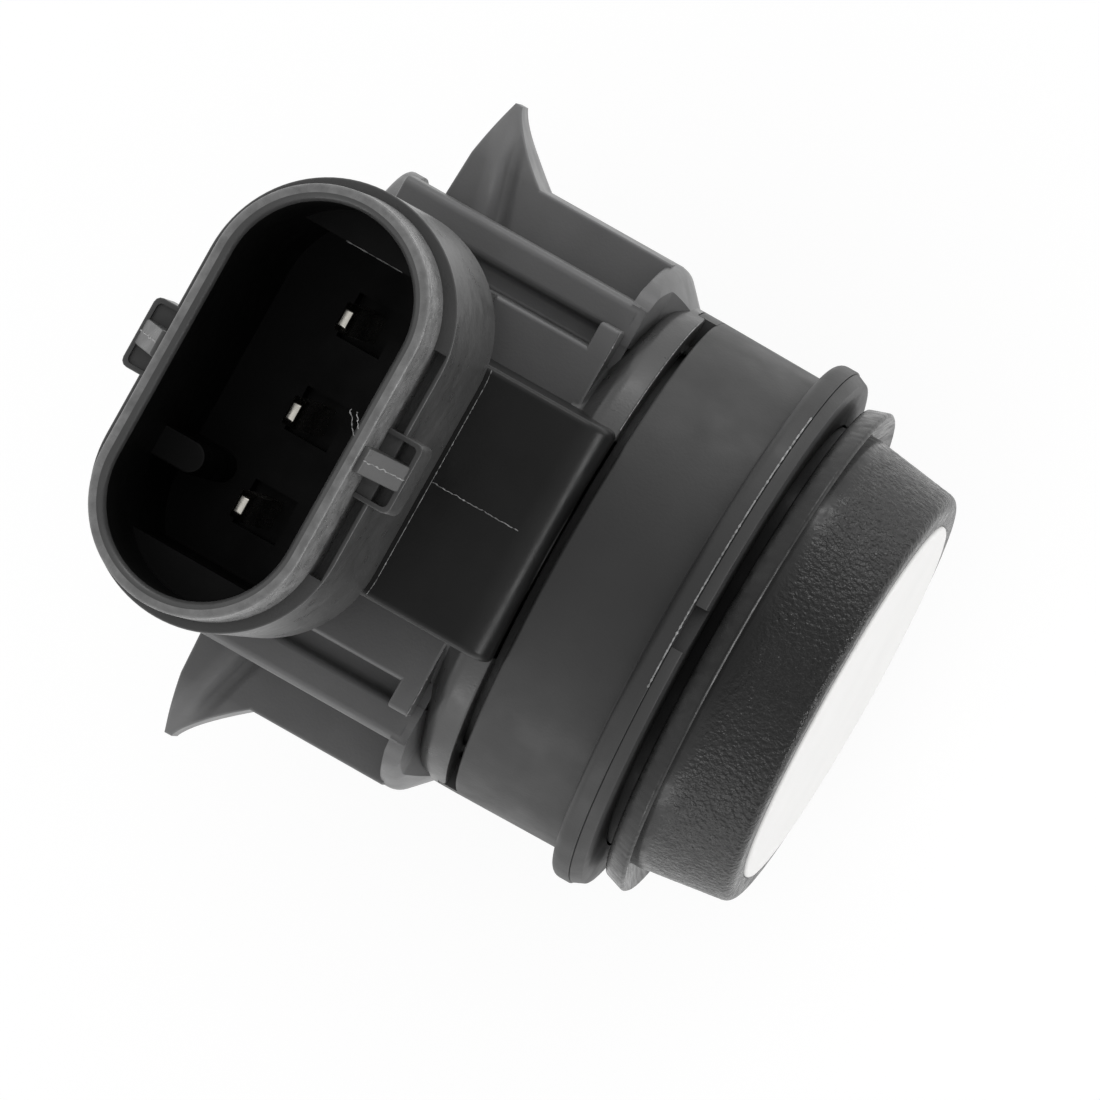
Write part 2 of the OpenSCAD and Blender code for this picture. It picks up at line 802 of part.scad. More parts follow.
module decoupling_ring() {
    rim_x = ring_x - rim_round;
    groove_x = crest_x - lip_groove;
    color("#202123") turned() difference() {
        union() {
            span(0, damper_x, damper_r, lip_x);
            span(0, joint_x - bead_w, bead_r, joint_x);
            polygon([
                [0, groove_x],
                [nose_r, groove_x],
                [nose_r, nose_x],
                [rim_r, rim_x],
                [0, rim_x]
            ]);
            span(0, rim_x - eps, rim_r - rim_round, ring_x);
            translate([rim_r - rim_round, rim_x]) circle(rim_round);
            polygon([
                [0, lip_x],
                [lip_r - lip_flare, lip_x],
                [lip_r, crest_x],
                [lip_r - lip_edge, nose_x],
                [nose_r, groove_x],
                [0, groove_x]
            ]);
        }
        span(0, cup_x, cup_r, face_x + over);
        span(0, damper_x - over, cup_r - damper_under, cup_x + eps);
    }
}

module membrane_cup() {
    color("#f1efec") turned() difference() {
        polygon([
            [0, cup_x],
            [cup_r, cup_x],
            [cup_r, face_x - face_bevel],
            [cup_r - face_bevel, face_x],
            [0, face_x]
        ]);
        span(0, cup_x - over, cup_in_r, piezo_front);
    }
}

module piezo_disc() {
    color("#cfc9a8") turned() span(0, pad_front, piezo_d / 2, piezo_front);
}

module damping_pad() {
    color("#6d6f73") difference() {
        turned() span(0, carrier_front, cup_in_r - fit_gap, pad_front);
        for (s = [-1, 1]) bar_x(
            carrier_front - over, pad_front + over, lead_d / 2 + pin_gap, s * contact_pitch / 2, contact_z
        );
    }
}

module contact_carrier() {
    color("#3a3a40") difference() {
        turned() span(0, carrier_rear, cup_in_r - fit_gap, carrier_front);
        for (s = [-1, 1]) bar_x(
            carrier_rear - over, carrier_front + over, contact_d / 2 + pin_gap, s * contact_pitch / 2, contact_z
        );
    }
}

module contact_pin(side) {
    color("#c9a75a") bar_x(
        board_front - contact_lap, carrier_front, contact_d / 2, side * contact_pitch / 2, contact_z
    );
}

module piezo_lead(side) {
    color("#b5763f") bar_x(
        carrier_front, pad_front, lead_d / 2, side * contact_pitch / 2, contact_z
    );
}

module terminal_pin(k) {
    color("#c8c2b0") connector_frame() blade(k);
}

module circuit_board() {
    color("#1f5a36") difference() {
        block([board_rear, -board_half, board_under], [board_front, board_half, board_z]);
        connector_frame() for (k = [-1:1]) blade(k, hole_gap);
    }
}

module control_chip() {
    x0 = board_front - contact_lap - part_gap - chip_w;
    color("#1b1b1d") block([x0, -chip_w / 2, board_z], [x0 + chip_w, chip_w / 2, board_z + chip_h]);
}

module transformer_place() {
    y = board_half - guide_w - part_gap - coil_d / 2;
    translate([board_front - part_gap - coil_d / 2, y, board_under - coil_h]) children();
}

module transformer_core() {
    color("#4a4a4c") transformer_place() {
        for (z = [0, coil_h - coil_flange]) translate([0, 0, z]) cylinder(h = coil_flange, d = coil_d);
        cylinder(h = coil_h, d = coil_post_d);
    }
}

module transformer_winding() {
    color("#b8703a") transformer_place() translate([0, 0, coil_flange]) difference() {
        cylinder(h = coil_h - 2 * coil_flange, d = coil_d - 2 * winding_inset);
        translate([0, 0, -over]) cylinder(h = coil_h + 2 * over, d = coil_post_d + 2 * pin_gap);
    }
}

module storage_capacitor() {
    color("#c98a2b") block(
        [board_front - part_gap - store_len, -board_half / 2 - store_w / 2, board_under - store_h],
        [board_front - part_gap, -board_half / 2 + store_w / 2, board_under]
    );
}

// Small two-ended chip part lying along X on the board
module small_part(h) {
    block([-small_len / 2, -small_w / 2, 0], [small_len / 2, small_w / 2, h]);
    for (s = [0, 1]) mirror([s, 0, 0]) block(
        [small_len / 2 - small_end, -small_w / 2 - small_skin, 0],
        [small_len / 2 + small_skin, small_w / 2 + small_skin, h + small_skin]
    );
}

module filter_capacitors() {
    color("#b9986a") for (k = [0:2])
        translate([small_x, small_y + k * small_pitch, board_z]) small_part(cap_h);
}

module chip_resistors() {
    color("#26262a") for (k = [0:2])
        translate([small_x, -small_y - k * small_pitch, board_z]) small_part(res_h);
}

rear_housing();
rear_cover();
front_sleeve();
retaining_ring();
decoupling_ring();
membrane_cup();
piezo_disc();
damping_pad();
contact_carrier();
contact_pin(1);  // contact_pin_left
contact_pin(-1);  // contact_pin_right
piezo_lead(1);  // piezo_lead_live
piezo_lead(-1);  // piezo_lead_return
terminal_pin(1);  // terminal_pin_left
terminal_pin(0);  // terminal_pin_middle
terminal_pin(-1);  // terminal_pin_right
circuit_board();
control_chip();
transformer_core();
transformer_winding();
storage_capacitor();
filter_capacitors();
chip_resistors();
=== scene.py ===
from math import atan2, cos, pi, radians, sin, tan

import bmesh
import bpy
from mathutils import Matrix, Vector, noise


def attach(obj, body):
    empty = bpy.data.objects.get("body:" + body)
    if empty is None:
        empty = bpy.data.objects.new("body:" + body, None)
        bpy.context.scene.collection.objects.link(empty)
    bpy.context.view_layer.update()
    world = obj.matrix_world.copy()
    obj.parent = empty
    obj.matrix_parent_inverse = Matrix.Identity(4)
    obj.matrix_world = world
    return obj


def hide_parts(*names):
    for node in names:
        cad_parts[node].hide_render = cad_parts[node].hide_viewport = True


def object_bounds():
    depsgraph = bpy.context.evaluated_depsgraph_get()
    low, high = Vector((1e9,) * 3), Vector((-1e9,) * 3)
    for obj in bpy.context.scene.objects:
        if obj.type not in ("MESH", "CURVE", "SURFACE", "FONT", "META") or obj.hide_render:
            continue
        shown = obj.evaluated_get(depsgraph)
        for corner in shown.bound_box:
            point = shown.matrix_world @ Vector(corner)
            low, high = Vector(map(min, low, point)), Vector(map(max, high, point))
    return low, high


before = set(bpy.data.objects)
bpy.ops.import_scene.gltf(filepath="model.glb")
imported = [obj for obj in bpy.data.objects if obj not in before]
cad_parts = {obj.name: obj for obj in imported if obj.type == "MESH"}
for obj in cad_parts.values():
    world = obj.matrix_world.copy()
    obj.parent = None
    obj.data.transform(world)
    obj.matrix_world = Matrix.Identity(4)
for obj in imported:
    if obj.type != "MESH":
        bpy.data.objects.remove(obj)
cadLow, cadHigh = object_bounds()
mm = 0.001  # shapes are worked out in millimetres and scaled once, when a piece is added
mergeGap = 1e-4  # points nearer than this become one
planeGap = 1e-3  # edges nearer to a plane than this lie in it
margin = 0.01  # added to a limit where faces are told apart
apart = 0.02  # keeps the faces of joined shapes out of one plane
beyond = 1  # how far a cutting shape reaches past what it cuts
wide = 30  # reach of a cutting shape that spans the whole part
fine = 240  # steps of the large turned pieces
sharpAngle = radians(25)  # sharper edges can be rounded
creaseAngle = radians(40)  # sharper edges stay creased in the shading
print("frame loaded:", len(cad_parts), "nodes")


# Shape helpers

def roundedOutline(corners, arcStep=0.1, fewest=3, most=48):
    # corners are (a, b, radius), and each radius becomes an arc
    outline = []
    count = len(corners)
    for k, (a, b, radius) in enumerate(corners):
        here = Vector((a, b))
        if radius == 0:
            outline.append(here)
            continue
        before = (Vector(corners[k - 1][:2]) - here).normalized()
        after = (Vector(corners[(k + 1) % count][:2]) - here).normalized()
        half = before.angle(after) / 2
        centre = here + (before + after).normalized() * radius / sin(half)
        first = here + before * radius / tan(half) - centre
        last = here + after * radius / tan(half) - centre
        start = atan2(first.y, first.x)
        sweep = (atan2(last.y, last.x) - start + pi) % (2 * pi) - pi
        steps = min(most, max(fewest, int(abs(sweep) * radius / arcStep)))
        for s in range(steps + 1):
            angle = start + sweep * s / steps
            outline.append(centre + Vector((cos(angle), sin(angle))) * radius)
    return outline


def arcPoints(a, b, radius, start, end, steps=40):
    angles = [start + (end - start) * s / steps for s in range(steps + 1)]
    return [Vector((a + radius * cos(angle), b + radius * sin(angle))) for angle in angles]


def ovalOutline(width, length):
    half = (length - width) / 2
    return arcPoints(0, half, width / 2, 0, pi) + arcPoints(0, -half, width / 2, pi, 2 * pi)


def vertsOf(geom):
    return [item for item in geom if isinstance(item, bmesh.types.BMVert)]


def prism(outline, axis, start, end):
    # an outline of (y, z), (x, z) or (x, y), drawn out along x, y or z
    places = {"x": (2, 0, 1), "y": (0, 2, 1), "z": (0, 1, 2)}[axis]
    bm = bmesh.new()
    verts = []
    for point in outline:
        values = (point[0], point[1], start)
        verts.append(bm.verts.new([values[p] for p in places]))
    drawn = bmesh.ops.extrude_face_region(bm, geom=[bm.faces.new(verts)])
    reach = (0, 0, end - start)
    bmesh.ops.translate(bm, verts=vertsOf(drawn["geom"]), vec=Vector([reach[p] for p in places]))
    bmesh.ops.recalc_face_normals(bm, faces=bm.faces)
    return bm


def slab(low, high):
    # a box between two corners
    bm = bmesh.new()
    bmesh.ops.create_cube(bm, size=1)
    size = Vector(high) - Vector(low)
    bmesh.ops.scale(bm, verts=bm.verts, vec=size)
    bmesh.ops.translate(bm, verts=bm.verts, vec=Vector(low) + size / 2)
    return bm


def turned(outline, steps=160):
    # a closed outline of (x, radius), spun about the sensing axis
    bm = bmesh.new()
    verts = [bm.verts.new((x, 0, r)) for x, r in outline]
    edges = [bm.edges.new((verts[k - 1], v)) for k, v in enumerate(verts) if verts[k - 1].co.z + v.co.z > 0]
    bmesh.ops.spin(bm, geom=verts + edges, cent=(0, 0, 0), axis=(1, 0, 0), angle=2 * pi, steps=steps,
                   use_merge=True)
    bmesh.ops.remove_doubles(bm, verts=bm.verts, dist=mergeGap)
    bmesh.ops.recalc_face_normals(bm, faces=bm.faces)
    return bm


def ovalSwept(outline, straight, steps=48):
    # a closed outline of (radius, z), drawn along an oval's sides and spun round its ends
    bm = bmesh.new()
    verts = [bm.verts.new((r, -straight / 2, z)) for r, z in outline]
    edges = [bm.edges.new((verts[k - 1], v)) for k, v in enumerate(verts)]
    for side in (1, -1):
        moved = vertsOf(bmesh.ops.extrude_edge_only(bm, edges=edges)["geom"])
        bmesh.ops.translate(bm, verts=moved, vec=(0, side * straight, 0))
        ends = [e for e in bm.edges if all(v in moved for v in e.verts)]
        spun = bmesh.ops.spin(bm, geom=moved + ends, cent=(0, side * straight / 2, 0), axis=(0, 0, 1),
                              angle=pi, steps=steps)["geom_last"]
        edges = [g for g in spun if isinstance(g, bmesh.types.BMEdge)]
    bmesh.ops.remove_doubles(bm, verts=bm.verts, dist=mergeGap)
    bmesh.ops.recalc_face_normals(bm, faces=bm.faces)
    return bm


def soften(bm, width, picks, segments=3):
    # rounds the sharp edges that picks() accepts
    sharp = [e for e in bm.edges if e.calc_face_angle(0) > sharpAngle and picks(e)]
    bmesh.ops.bevel(bm, geom=sharp, offset=width, offset_type="OFFSET", segments=segments, profile=0.5,
                    affect="EDGES", clamp_overlap=True, material=-1)
    return bm


def edgeAt(axis, *places):
    # picks edges that lie in one of these planes across x (0), y (1) or z (2)
    return lambda e: any(all(abs(v.co[axis] - place) < planeGap for v in e.verts) for place in places)


def rises(edge):
    # by more than a millimetre
    return abs(edge.verts[0].co.z - edge.verts[1].co.z) > 1


def newObject(name, data):
    made = bpy.data.objects.new(name, data)
    bpy.context.scene.collection.objects.link(made)
    return made


def scratchObject(bm):
    mesh = bpy.data.meshes.new("scratch")
    bm.to_mesh(mesh)
    bm.free()
    return newObject("scratch", mesh)


def combine(base, operation, *others):
    # joins, cuts or crosses closed shapes, one after the other
    target = scratchObject(base)
    for other in others:
        tool = scratchObject(other)
        step = target.modifiers.new("combine", "BOOLEAN")
        step.operation = operation
        step.solver = "EXACT"
        step.object = tool
        shaped = target.evaluated_get(bpy.context.evaluated_depsgraph_get())
        mesh = bpy.data.meshes.new_from_object(shaped)
        target.modifiers.clear()
        target.data = mesh
        bpy.data.objects.remove(tool)
    bm = bmesh.new()
    bm.from_mesh(target.data)
    bpy.data.objects.remove(target)
    bmesh.ops.remove_doubles(bm, verts=bm.verts, dist=mergeGap)
    return bm


def mirrored(bm, axis):
    twin = bm.copy()
    flip = Vector((1, 1, 1))
    flip[axis] = -1
    bmesh.ops.scale(twin, verts=twin.verts, vec=flip)
    bmesh.ops.reverse_faces(twin, faces=twin.faces)
    return twin


def addPiece(name, bm, material, nodes):
    bmesh.ops.scale(bm, verts=bm.verts, vec=(mm, mm, mm))
    mesh = bpy.data.meshes.new(name)
    bm.to_mesh(mesh)
    bm.free()
    mesh.shade_smooth()
    mesh.set_sharp_from_angle(angle=creaseAngle)
    mesh.materials.append(material)
    piece = newObject(name, mesh)
    even = piece.modifiers.new("even shading", "WEIGHTED_NORMAL")
    even.keep_sharp = True
    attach(piece, "root")
    if nodes:
        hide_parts(*nodes)
    print(name, len(mesh.polygons), "faces")
    return piece


# Material helpers

def newMaterial(name, colour, roughness, metallic=0.0):
    material = bpy.data.materials.new(name)
    material.use_nodes = True
    tree = material.node_tree
    shader = tree.nodes["Principled BSDF"]
    shader.inputs["Base Color"].default_value = (*colour, 1)
    shader.inputs["Roughness"].default_value = roughness
    shader.inputs["Metallic"].default_value = metallic
    return material, tree, shader


def objectNoise(tree, scale, detail=3.0, kind="ShaderNodeTexNoise"):
    place = tree.nodes.get("place") or tree.nodes.new("ShaderNodeTexCoord")
    place.name = "place"
    texture = tree.nodes.new(kind)
    texture.inputs["Scale"].default_value = scale
    if "Detail" in texture.inputs:
        texture.inputs["Detail"].default_value = detail
    tree.links.new(place.outputs["Object"], texture.inputs["Vector"])
    return texture


def spread(tree, value, low, high, fromLow=0.3, fromHigh=0.7):
    # maps a range, the middle of a texture's unless given, onto low to high
    ranged = tree.nodes.new("ShaderNodeMapRange")
    for label, number in (("From Min", fromLow), ("From Max", fromHigh), ("To Min", low), ("To Max", high)):
        ranged.inputs[label].default_value = number
    tree.links.new(value, ranged.inputs["Value"])
    return ranged.outputs["Result"]


def cloudColour(tree, shader, scale, first, second):
    # one colour turns into the other in soft clouds
    clouds = objectNoise(tree, scale)
    mix = tree.nodes.new("ShaderNodeMix")
    mix.data_type = "RGBA"
    mix.inputs[6].default_value = (*first, 1)
    mix.inputs[7].default_value = (*second, 1)
    tree.links.new(spread(tree, clouds.outputs["Fac"], 0, 1), mix.inputs[0])
    tree.links.new(mix.outputs[2], shader.inputs["Base Color"])


def unevenGloss(tree, shader, scale, low, high):
    patches = objectNoise(tree, scale)
    tree.links.new(spread(tree, patches.outputs["Fac"], low, high), shader.inputs["Roughness"])


def addBump(tree, shader, height, strength, distance):
    bump = tree.nodes.new("ShaderNodeBump")
    bump.inputs["Strength"].default_value = strength
    bump.inputs["Distance"].default_value = distance
    tree.links.new(height, bump.inputs["Height"])
    before = shader.inputs["Normal"].links
    if before:
        tree.links.new(before[0].from_socket, bump.inputs["Normal"])
    tree.links.new(bump.outputs["Normal"], shader.inputs["Normal"])


def calculated(tree, operation, first, second):
    node = tree.nodes.new("ShaderNodeMath")
    node.operation = operation
    tree.links.new(first, node.inputs[0])
    tree.links.new(second, node.inputs[1])
    return node.outputs[0]


def alongAxis(tree, start, full):
    # rises from 0 to 1 between two places on the sensing axis
    split = tree.nodes.new("ShaderNodeSeparateXYZ")
    tree.links.new(tree.nodes["place"].outputs["Object"], split.inputs[0])
    return spread(tree, split.outputs["X"], 0, 1, start, full)


def addSpecks(tree, shader, look):
    # sparse pale dust: the middle of a few cells
    scale, size, share, brightness = look["specks"]
    cells = objectNoise(tree, scale, kind="ShaderNodeTexVoronoi")
    tone = tree.nodes.new("ShaderNodeSeparateColor")
    tree.links.new(cells.outputs["Color"], tone.inputs[0])
    middle = spread(tree, cells.outputs["Distance"], 1, 0, size / 2, size)
    few = spread(tree, tone.outputs[0], 0, brightness, 1 - share, 1)
    mix = tree.nodes.new("ShaderNodeMix")
    mix.data_type = "RGBA"
    mix.inputs[7].default_value = (1, 1, 1, 1)
    tree.links.new(calculated(tree, "MULTIPLY", middle, few), mix.inputs[0])
    tree.links.new(shader.inputs["Base Color"].links[0].from_socket, mix.inputs[6])
    tree.links.new(mix.outputs[2], shader.inputs["Base Color"])


# What the moulded finishes share, unless they name it themselves
plainMould = {"roughSpread": 0.06, "cloudScale": 300, "patchScale": 900, "grainScale": 8000,
              "grainStrength": 0.12, "grainDepth": 0.00002, "specular": 0.5}


def mouldedPlastic(name, ownLook):
    look = {**plainMould, **ownLook}
    rough, change = look["roughness"], look["roughSpread"]
    material, tree, shader = newMaterial(name, look["dark"], rough)
    shader.inputs["Specular IOR Level"].default_value = look["specular"]
    cloudColour(tree, shader, look["cloudScale"], look["dark"], look["light"])
    unevenGloss(tree, shader, look["patchScale"], rough - change, rough + change)
    grain = objectNoise(tree, look["grainScale"], detail=2)
    height = spread(tree, grain.outputs["Fac"], 0, 1)
    if "grainStart" in look:
        onNose = alongAxis(tree, look["grainStart"], look["grainFull"])
        height = calculated(tree, "MULTIPLY", height, onNose)
    addBump(tree, shader, height, look["grainStrength"], look["grainDepth"])
    if "specks" in look:
        addSpecks(tree, shader, look)
    return material


# Finishes of the pieces that show

# lighter copies of the connector's black plastic: painted light on the top-facing housing and clip arms,
# which the studio leaves dim
paintedLightHousingPlastic = mouldedPlastic("moulded black plastic painted lighter", {
    "dark": (0.112, 0.112, 0.113), "light": (0.138, 0.138, 0.139), "roughness": 0.4,
    "roughSpread": 0.07, "cloudScale": 260, "grainScale": 9000,
    "specks": (700, 0.05, 0.2, 0.12)})
paintedLightClipPlastic = mouldedPlastic("clip arm plastic painted lighter", {
    "dark": (0.12, 0.12, 0.121), "light": (0.146, 0.146, 0.147), "roughness": 0.42,
    "roughSpread": 0.07, "grainScale": 9000})
connectorPlastic = mouldedPlastic("smooth black plastic", {
    "dark": (0.05, 0.05, 0.05), "light": (0.066, 0.066, 0.066), "roughness": 0.34,
    "roughSpread": 0.08, "patchScale": 1100, "grainStrength": 0.16,
    "specks": (900, 0.1, 0.45, 0.6)})
# smoother than the housing, and much darker: the dark colour is painted shade from the connector shroud
# beside the block
polishedPlasticPaintedShade = mouldedPlastic("polished black plastic with painted shade", {
    "dark": (0.008, 0.008, 0.008), "light": (0.013, 0.013, 0.013), "roughness": 0.34,
    "specular": 0.28, "grainScale": 7000, "grainStrength": 0.08,
    "specks": (600, 0.05, 0.25, 0.1)})
# pale worn rim of the mouth, also used as painted sheen on the mouth's outer wall, where grazing light falls
rimWearAndSheenPlastic = mouldedPlastic("worn rim plastic with painted sheen", {
    "dark": (0.13, 0.13, 0.13), "light": (0.22, 0.22, 0.22), "roughness": 0.32,
    "roughSpread": 0.1, "cloudScale": 1500, "patchScale": 2500, "grainScale": 5000,
    "grainStrength": 0.5, "grainDepth": 0.00003})
# a darker, less shiny copy of the black plastic: painted shade inside the socket and in the soft ring's
# groove behind the lip
paintedShadeBlack = mouldedPlastic("black with painted shade", {
    "dark": (0.003, 0.003, 0.003), "light": (0.005, 0.005, 0.005), "roughness": 0.42,
    "specular": 0.15, "grainScale": 7000, "grainStrength": 0.08})
sleevePlastic = mouldedPlastic("satin black plastic", {
    "dark": (0.028, 0.028, 0.028), "light": (0.035, 0.035, 0.035), "roughness": 0.5,
    "cloudScale": 200, "patchScale": 700,
    "specks": (600, 0.05, 0.25, 0.16)})
noseSilicone = mouldedPlastic("grained black silicone", {
    "dark": (0.003, 0.003, 0.003), "light": (0.007, 0.007, 0.007), "roughness": 0.29,
    "roughSpread": 0.1, "cloudScale": 500, "patchScale": 2500, "grainScale": 5500,
    "grainStrength": 1.0, "grainDepth": 0.000045, "grainStart": 0.0026, "grainFull": 0.0034})
# pale colour of the flash, and of the lines painted as edge highlights
flashAndHighlightPlastic = mouldedPlastic("thin flash and painted highlight", {
    "dark": (0.12, 0.12, 0.12), "light": (0.45, 0.45, 0.45), "roughness": 0.3,
    "roughSpread": 0.1, "cloudScale": 2500, "patchScale": 2500, "grainStrength": 0.3})


def paintedFace():
    look = {"paint": (0.92, 0.915, 0.905), "shade": (0.89, 0.885, 0.875), "roughness": 0.5,
            "cloudScale": 300, "peelScale": 5000, "peelStrength": 0.08, "peelDepth": 0.00001}
    material, tree, shader = newMaterial("white primer", look["paint"], look["roughness"])
    cloudColour(tree, shader, look["cloudScale"], look["paint"], look["shade"])
    peel = objectNoise(tree, look["peelScale"])
    addBump(tree, shader, peel.outputs["Fac"], look["peelStrength"], look["peelDepth"])
    return material


def tinnedBlade():
    look = {"colour": (0.86, 0.83, 0.76), "roughness": 0.2, "scuffScale": 4000, "bright": 0.7, "dull": 1.5}
    rough = look["roughness"]
    material, tree, shader = newMaterial("tinned blade", look["colour"], rough, 1.0)
    unevenGloss(tree, shader, look["scuffScale"], rough * look["bright"], rough * look["dull"])
    return material


whitePrimer = paintedFace()
tinnedMetal = tinnedBlade()
print("finishes of the outer pieces made")


# Front end: sleeve, retaining ring, soft ring and sounding face

sleeve = {"r": 10.5, "draft": 0.06, "plugR": 9.35, "plugInR": 8.0, "boreR": 9.3, "beadR": 10.0,
          "plugX": -6.0, "seamX": -5.15, "collarRear": -0.43, "jointX": 0.43, "collarR": 11.37,
          "collarRound": 0.4, "jointRound": 0.05, "damperX": -3.02, "beadX": -0.42, "fillet": 0.12,
          "plugRound": 0.05, "seamRound": 0.15, "gapX": -5.75, "gapR": 8.7,
          "keyX": -5.85, "keyZ": 1.82, "keySink": 0.05, "keyOverlap": 0.1}


def lockKeys(rear, front, inR, outR, halfZ, steps=160):
    # a piece of a ring on each side, where sleeve and housing lock
    ring = turned([(rear, inR), (rear, outR), (front, outR), (front, inR)], steps)
    return combine(ring, "INTERSECT", slab((-wide, -wide, -halfZ), (wide, wide, halfZ)))


def makeSleeve():
    s = sleeve
    topR = s["r"] - s["draft"]
    body = turned(roundedOutline([
        (s["plugX"], s["plugInR"], 0), (s["plugX"], s["plugR"], s["plugRound"]), (s["gapX"], s["plugR"], 0),
        (s["gapX"], s["gapR"], 0), (s["seamX"], s["gapR"], 0), (s["seamX"], s["r"], s["seamRound"]),
        (s["collarRear"], topR, s["fillet"]), (s["collarRear"], s["collarR"], s["collarRound"]),
        (s["jointX"], s["collarR"], s["jointRound"]), (s["jointX"], s["beadR"], 0),
        (s["beadX"], s["beadR"], 0), (s["beadX"], s["boreR"], 0), (s["damperX"], s["boreR"], 0),
        (s["damperX"], s["plugInR"], 0),
    ]), fine)
    keys = lockKeys(s["keyX"], s["seamX"] + s["keyOverlap"], s["plugR"] - s["keySink"], s["r"],
                    s["keyZ"], fine)
    return combine(body, "UNION", keys)


retainer = {"jointX": 0.43, "r": 11.32, "slopeX": 0.92, "slopeR": 11.1, "frontX": 1.0, "frontR": 10.7,
            "inR": 9.35, "jointRound": 0.05, "slopeRound": 0.08, "frontRound": 0.06, "arcStep": 0.05,
            "notchW": 1.86, "deepZ": 10.5, "shallowZ": 10.85}


def makeRetainer():
    s = retainer
    ring = turned(roundedOutline([
        (s["jointX"], s["inR"], 0), (s["jointX"], s["r"], s["jointRound"]),
        (s["slopeX"], s["slopeR"], s["slopeRound"]), (s["frontX"], s["frontR"], s["frontRound"]),
        (s["frontX"], s["inR"], 0),
    ], s["arcStep"]), fine)
    half, top = s["notchW"] / 2, s["r"] + beyond
    notch = prism([(-half, s["shallowZ"]), (half, s["deepZ"]), (half, top), (-half, top)],
                  "x", s["jointX"] - beyond, s["frontX"] + beyond)
    return combine(ring, "DIFFERENCE", notch)


softRing = {
    "seatX": -3.02, "seatR": 6.9, "wallR": 9.25, "beadX0": -0.42, "beadX1": 0.43, "beadR": 9.95,
    "lipX": 1.52, "lipRearR": 10.35, "crestX": 2.36, "crestR": 10.63, "edge": 0.12, "grooveX": 1.91,
    "noseR": 9.51, "rimR": 9.04, "rimRound": 0.5, "ringX": 6.26, "cupR": 7.8, "cupX": -1.62,
    "round": 0.1, "edgeRound": 0.04, "grooveRound": 0.12, "rimFull": 0.96, "cupRound": 0.08,
    "arcStep": 0.06, "steps": 720, "nosePoints": 46,
    "lipEdge": 0.15, "lipScale": 4, "lipRough": 0.03}
noseGrain = {"from": 2.7, "to": 6.0, "fadeIn": 0.4, "fadeOut": 0.3, "rimWall": 0.8, "size": 0.18,
             "cushion": 2.2, "lowest": 0.4, "patchScale": 1.7, "height": 0.019, "sunk": 0.5}


def makeSoftRing():
    s, g = softRing, noseGrain
    noseX = s["crestX"] + s["edge"]
    rimX = s["ringX"] - s["rimRound"]
    slope = (s["noseR"] - s["rimR"]) / (rimX - noseX)
    corners = [
        (s["cupX"], s["seatR"], 0), (s["seatX"], s["seatR"], 0), (s["seatX"], s["wallR"], s["round"]),
        (s["beadX0"], s["wallR"], 0), (s["beadX0"], s["beadR"], 0), (s["beadX1"], s["beadR"], 0),
        (s["beadX1"], s["wallR"], 0), (s["lipX"], s["wallR"], 0), (s["lipX"], s["lipRearR"], s["round"]),
        (s["crestX"], s["crestR"], s["round"]), (noseX, s["crestR"] - s["edge"], s["edgeRound"]),
        (s["grooveX"], s["noseR"], s["grooveRound"]), (noseX, s["noseR"], 0),
    ]
    for k in range(1, s["nosePoints"] + 1):
        x = noseX + (rimX - noseX) * k / s["nosePoints"]
        corners.append((x, s["noseR"] - slope * (x - noseX), 0))
    corners += [(s["ringX"], s["rimR"], s["rimRound"] * s["rimFull"]), (s["ringX"], s["cupR"], s["cupRound"]),
                (s["cupX"], s["cupR"], 0)]
    bm = turned(roundedOutline(corners, s["arcStep"]), s["steps"])
    for vert in bm.verts:  # ragged lip, and spark-eroded grain: small cushions between creases
        radius = Vector((vert.co.y, vert.co.z))
        if radius.length > s["lipRearR"] + s["lipEdge"]:
            radius *= 1 - abs(noise.noise(vert.co * s["lipScale"])) * s["lipRough"] / radius.length
            vert.co.y, vert.co.z = radius
        if radius.length < s["cupR"] + g["rimWall"] or not g["from"] < vert.co.x < g["to"]:
            continue
        near, nextNear = noise.voronoi(vert.co / g["size"])[0][:2]
        patch = g["lowest"] + (1 - g["lowest"]) * abs(noise.noise(vert.co * g["patchScale"]))
        rise = min(1, g["cushion"] * (nextNear - near)) * patch
        fade = min(1, (vert.co.x - g["from"]) / g["fadeIn"], (g["to"] - vert.co.x) / g["fadeOut"])
        radius *= 1 + (rise * fade - g["sunk"]) * g["height"] / radius.length
        vert.co.y, vert.co.z = radius
    for face in bm.faces:  # painted shade behind the lip: its groove takes the darker, less shiny black
        if face.calc_center_median().x < s["lipX"] + margin:
            face.material_index = 1
    return bm


cup = {"rearX": -1.62, "faceX": 6.38, "r": 7.8, "inR": 6.7, "backX": 5.58, "edge": 0.15, "inRound": 0.3,
       "steps": 200}


def makeCup():
    s = cup
    return turned(roundedOutline([
        (s["backX"], 0, 0), (s["backX"], s["inR"], s["inRound"]), (s["rearX"], s["inR"], 0),
        (s["rearX"], s["r"], 0), (s["faceX"], s["r"], s["edge"]), (s["faceX"], 0, 0),
    ]), s["steps"])


addPiece("sleeveBody", makeSleeve(), sleevePlastic, ["front_sleeve"])
addPiece("retainingRing", makeRetainer(), sleevePlastic, ["retaining_ring"])
softPiece = addPiece("decouplingRing", makeSoftRing(), noseSilicone, ["decoupling_ring"])
# the groove behind the lip takes the black with painted shade
softPiece.data.materials.append(paintedShadeBlack)
addPiece("soundingFace", makeCup(), whitePrimer, ["membrane_cup"])
print("front end made")


# Rear housing: tube with rails, slots and roof, band, clip frames

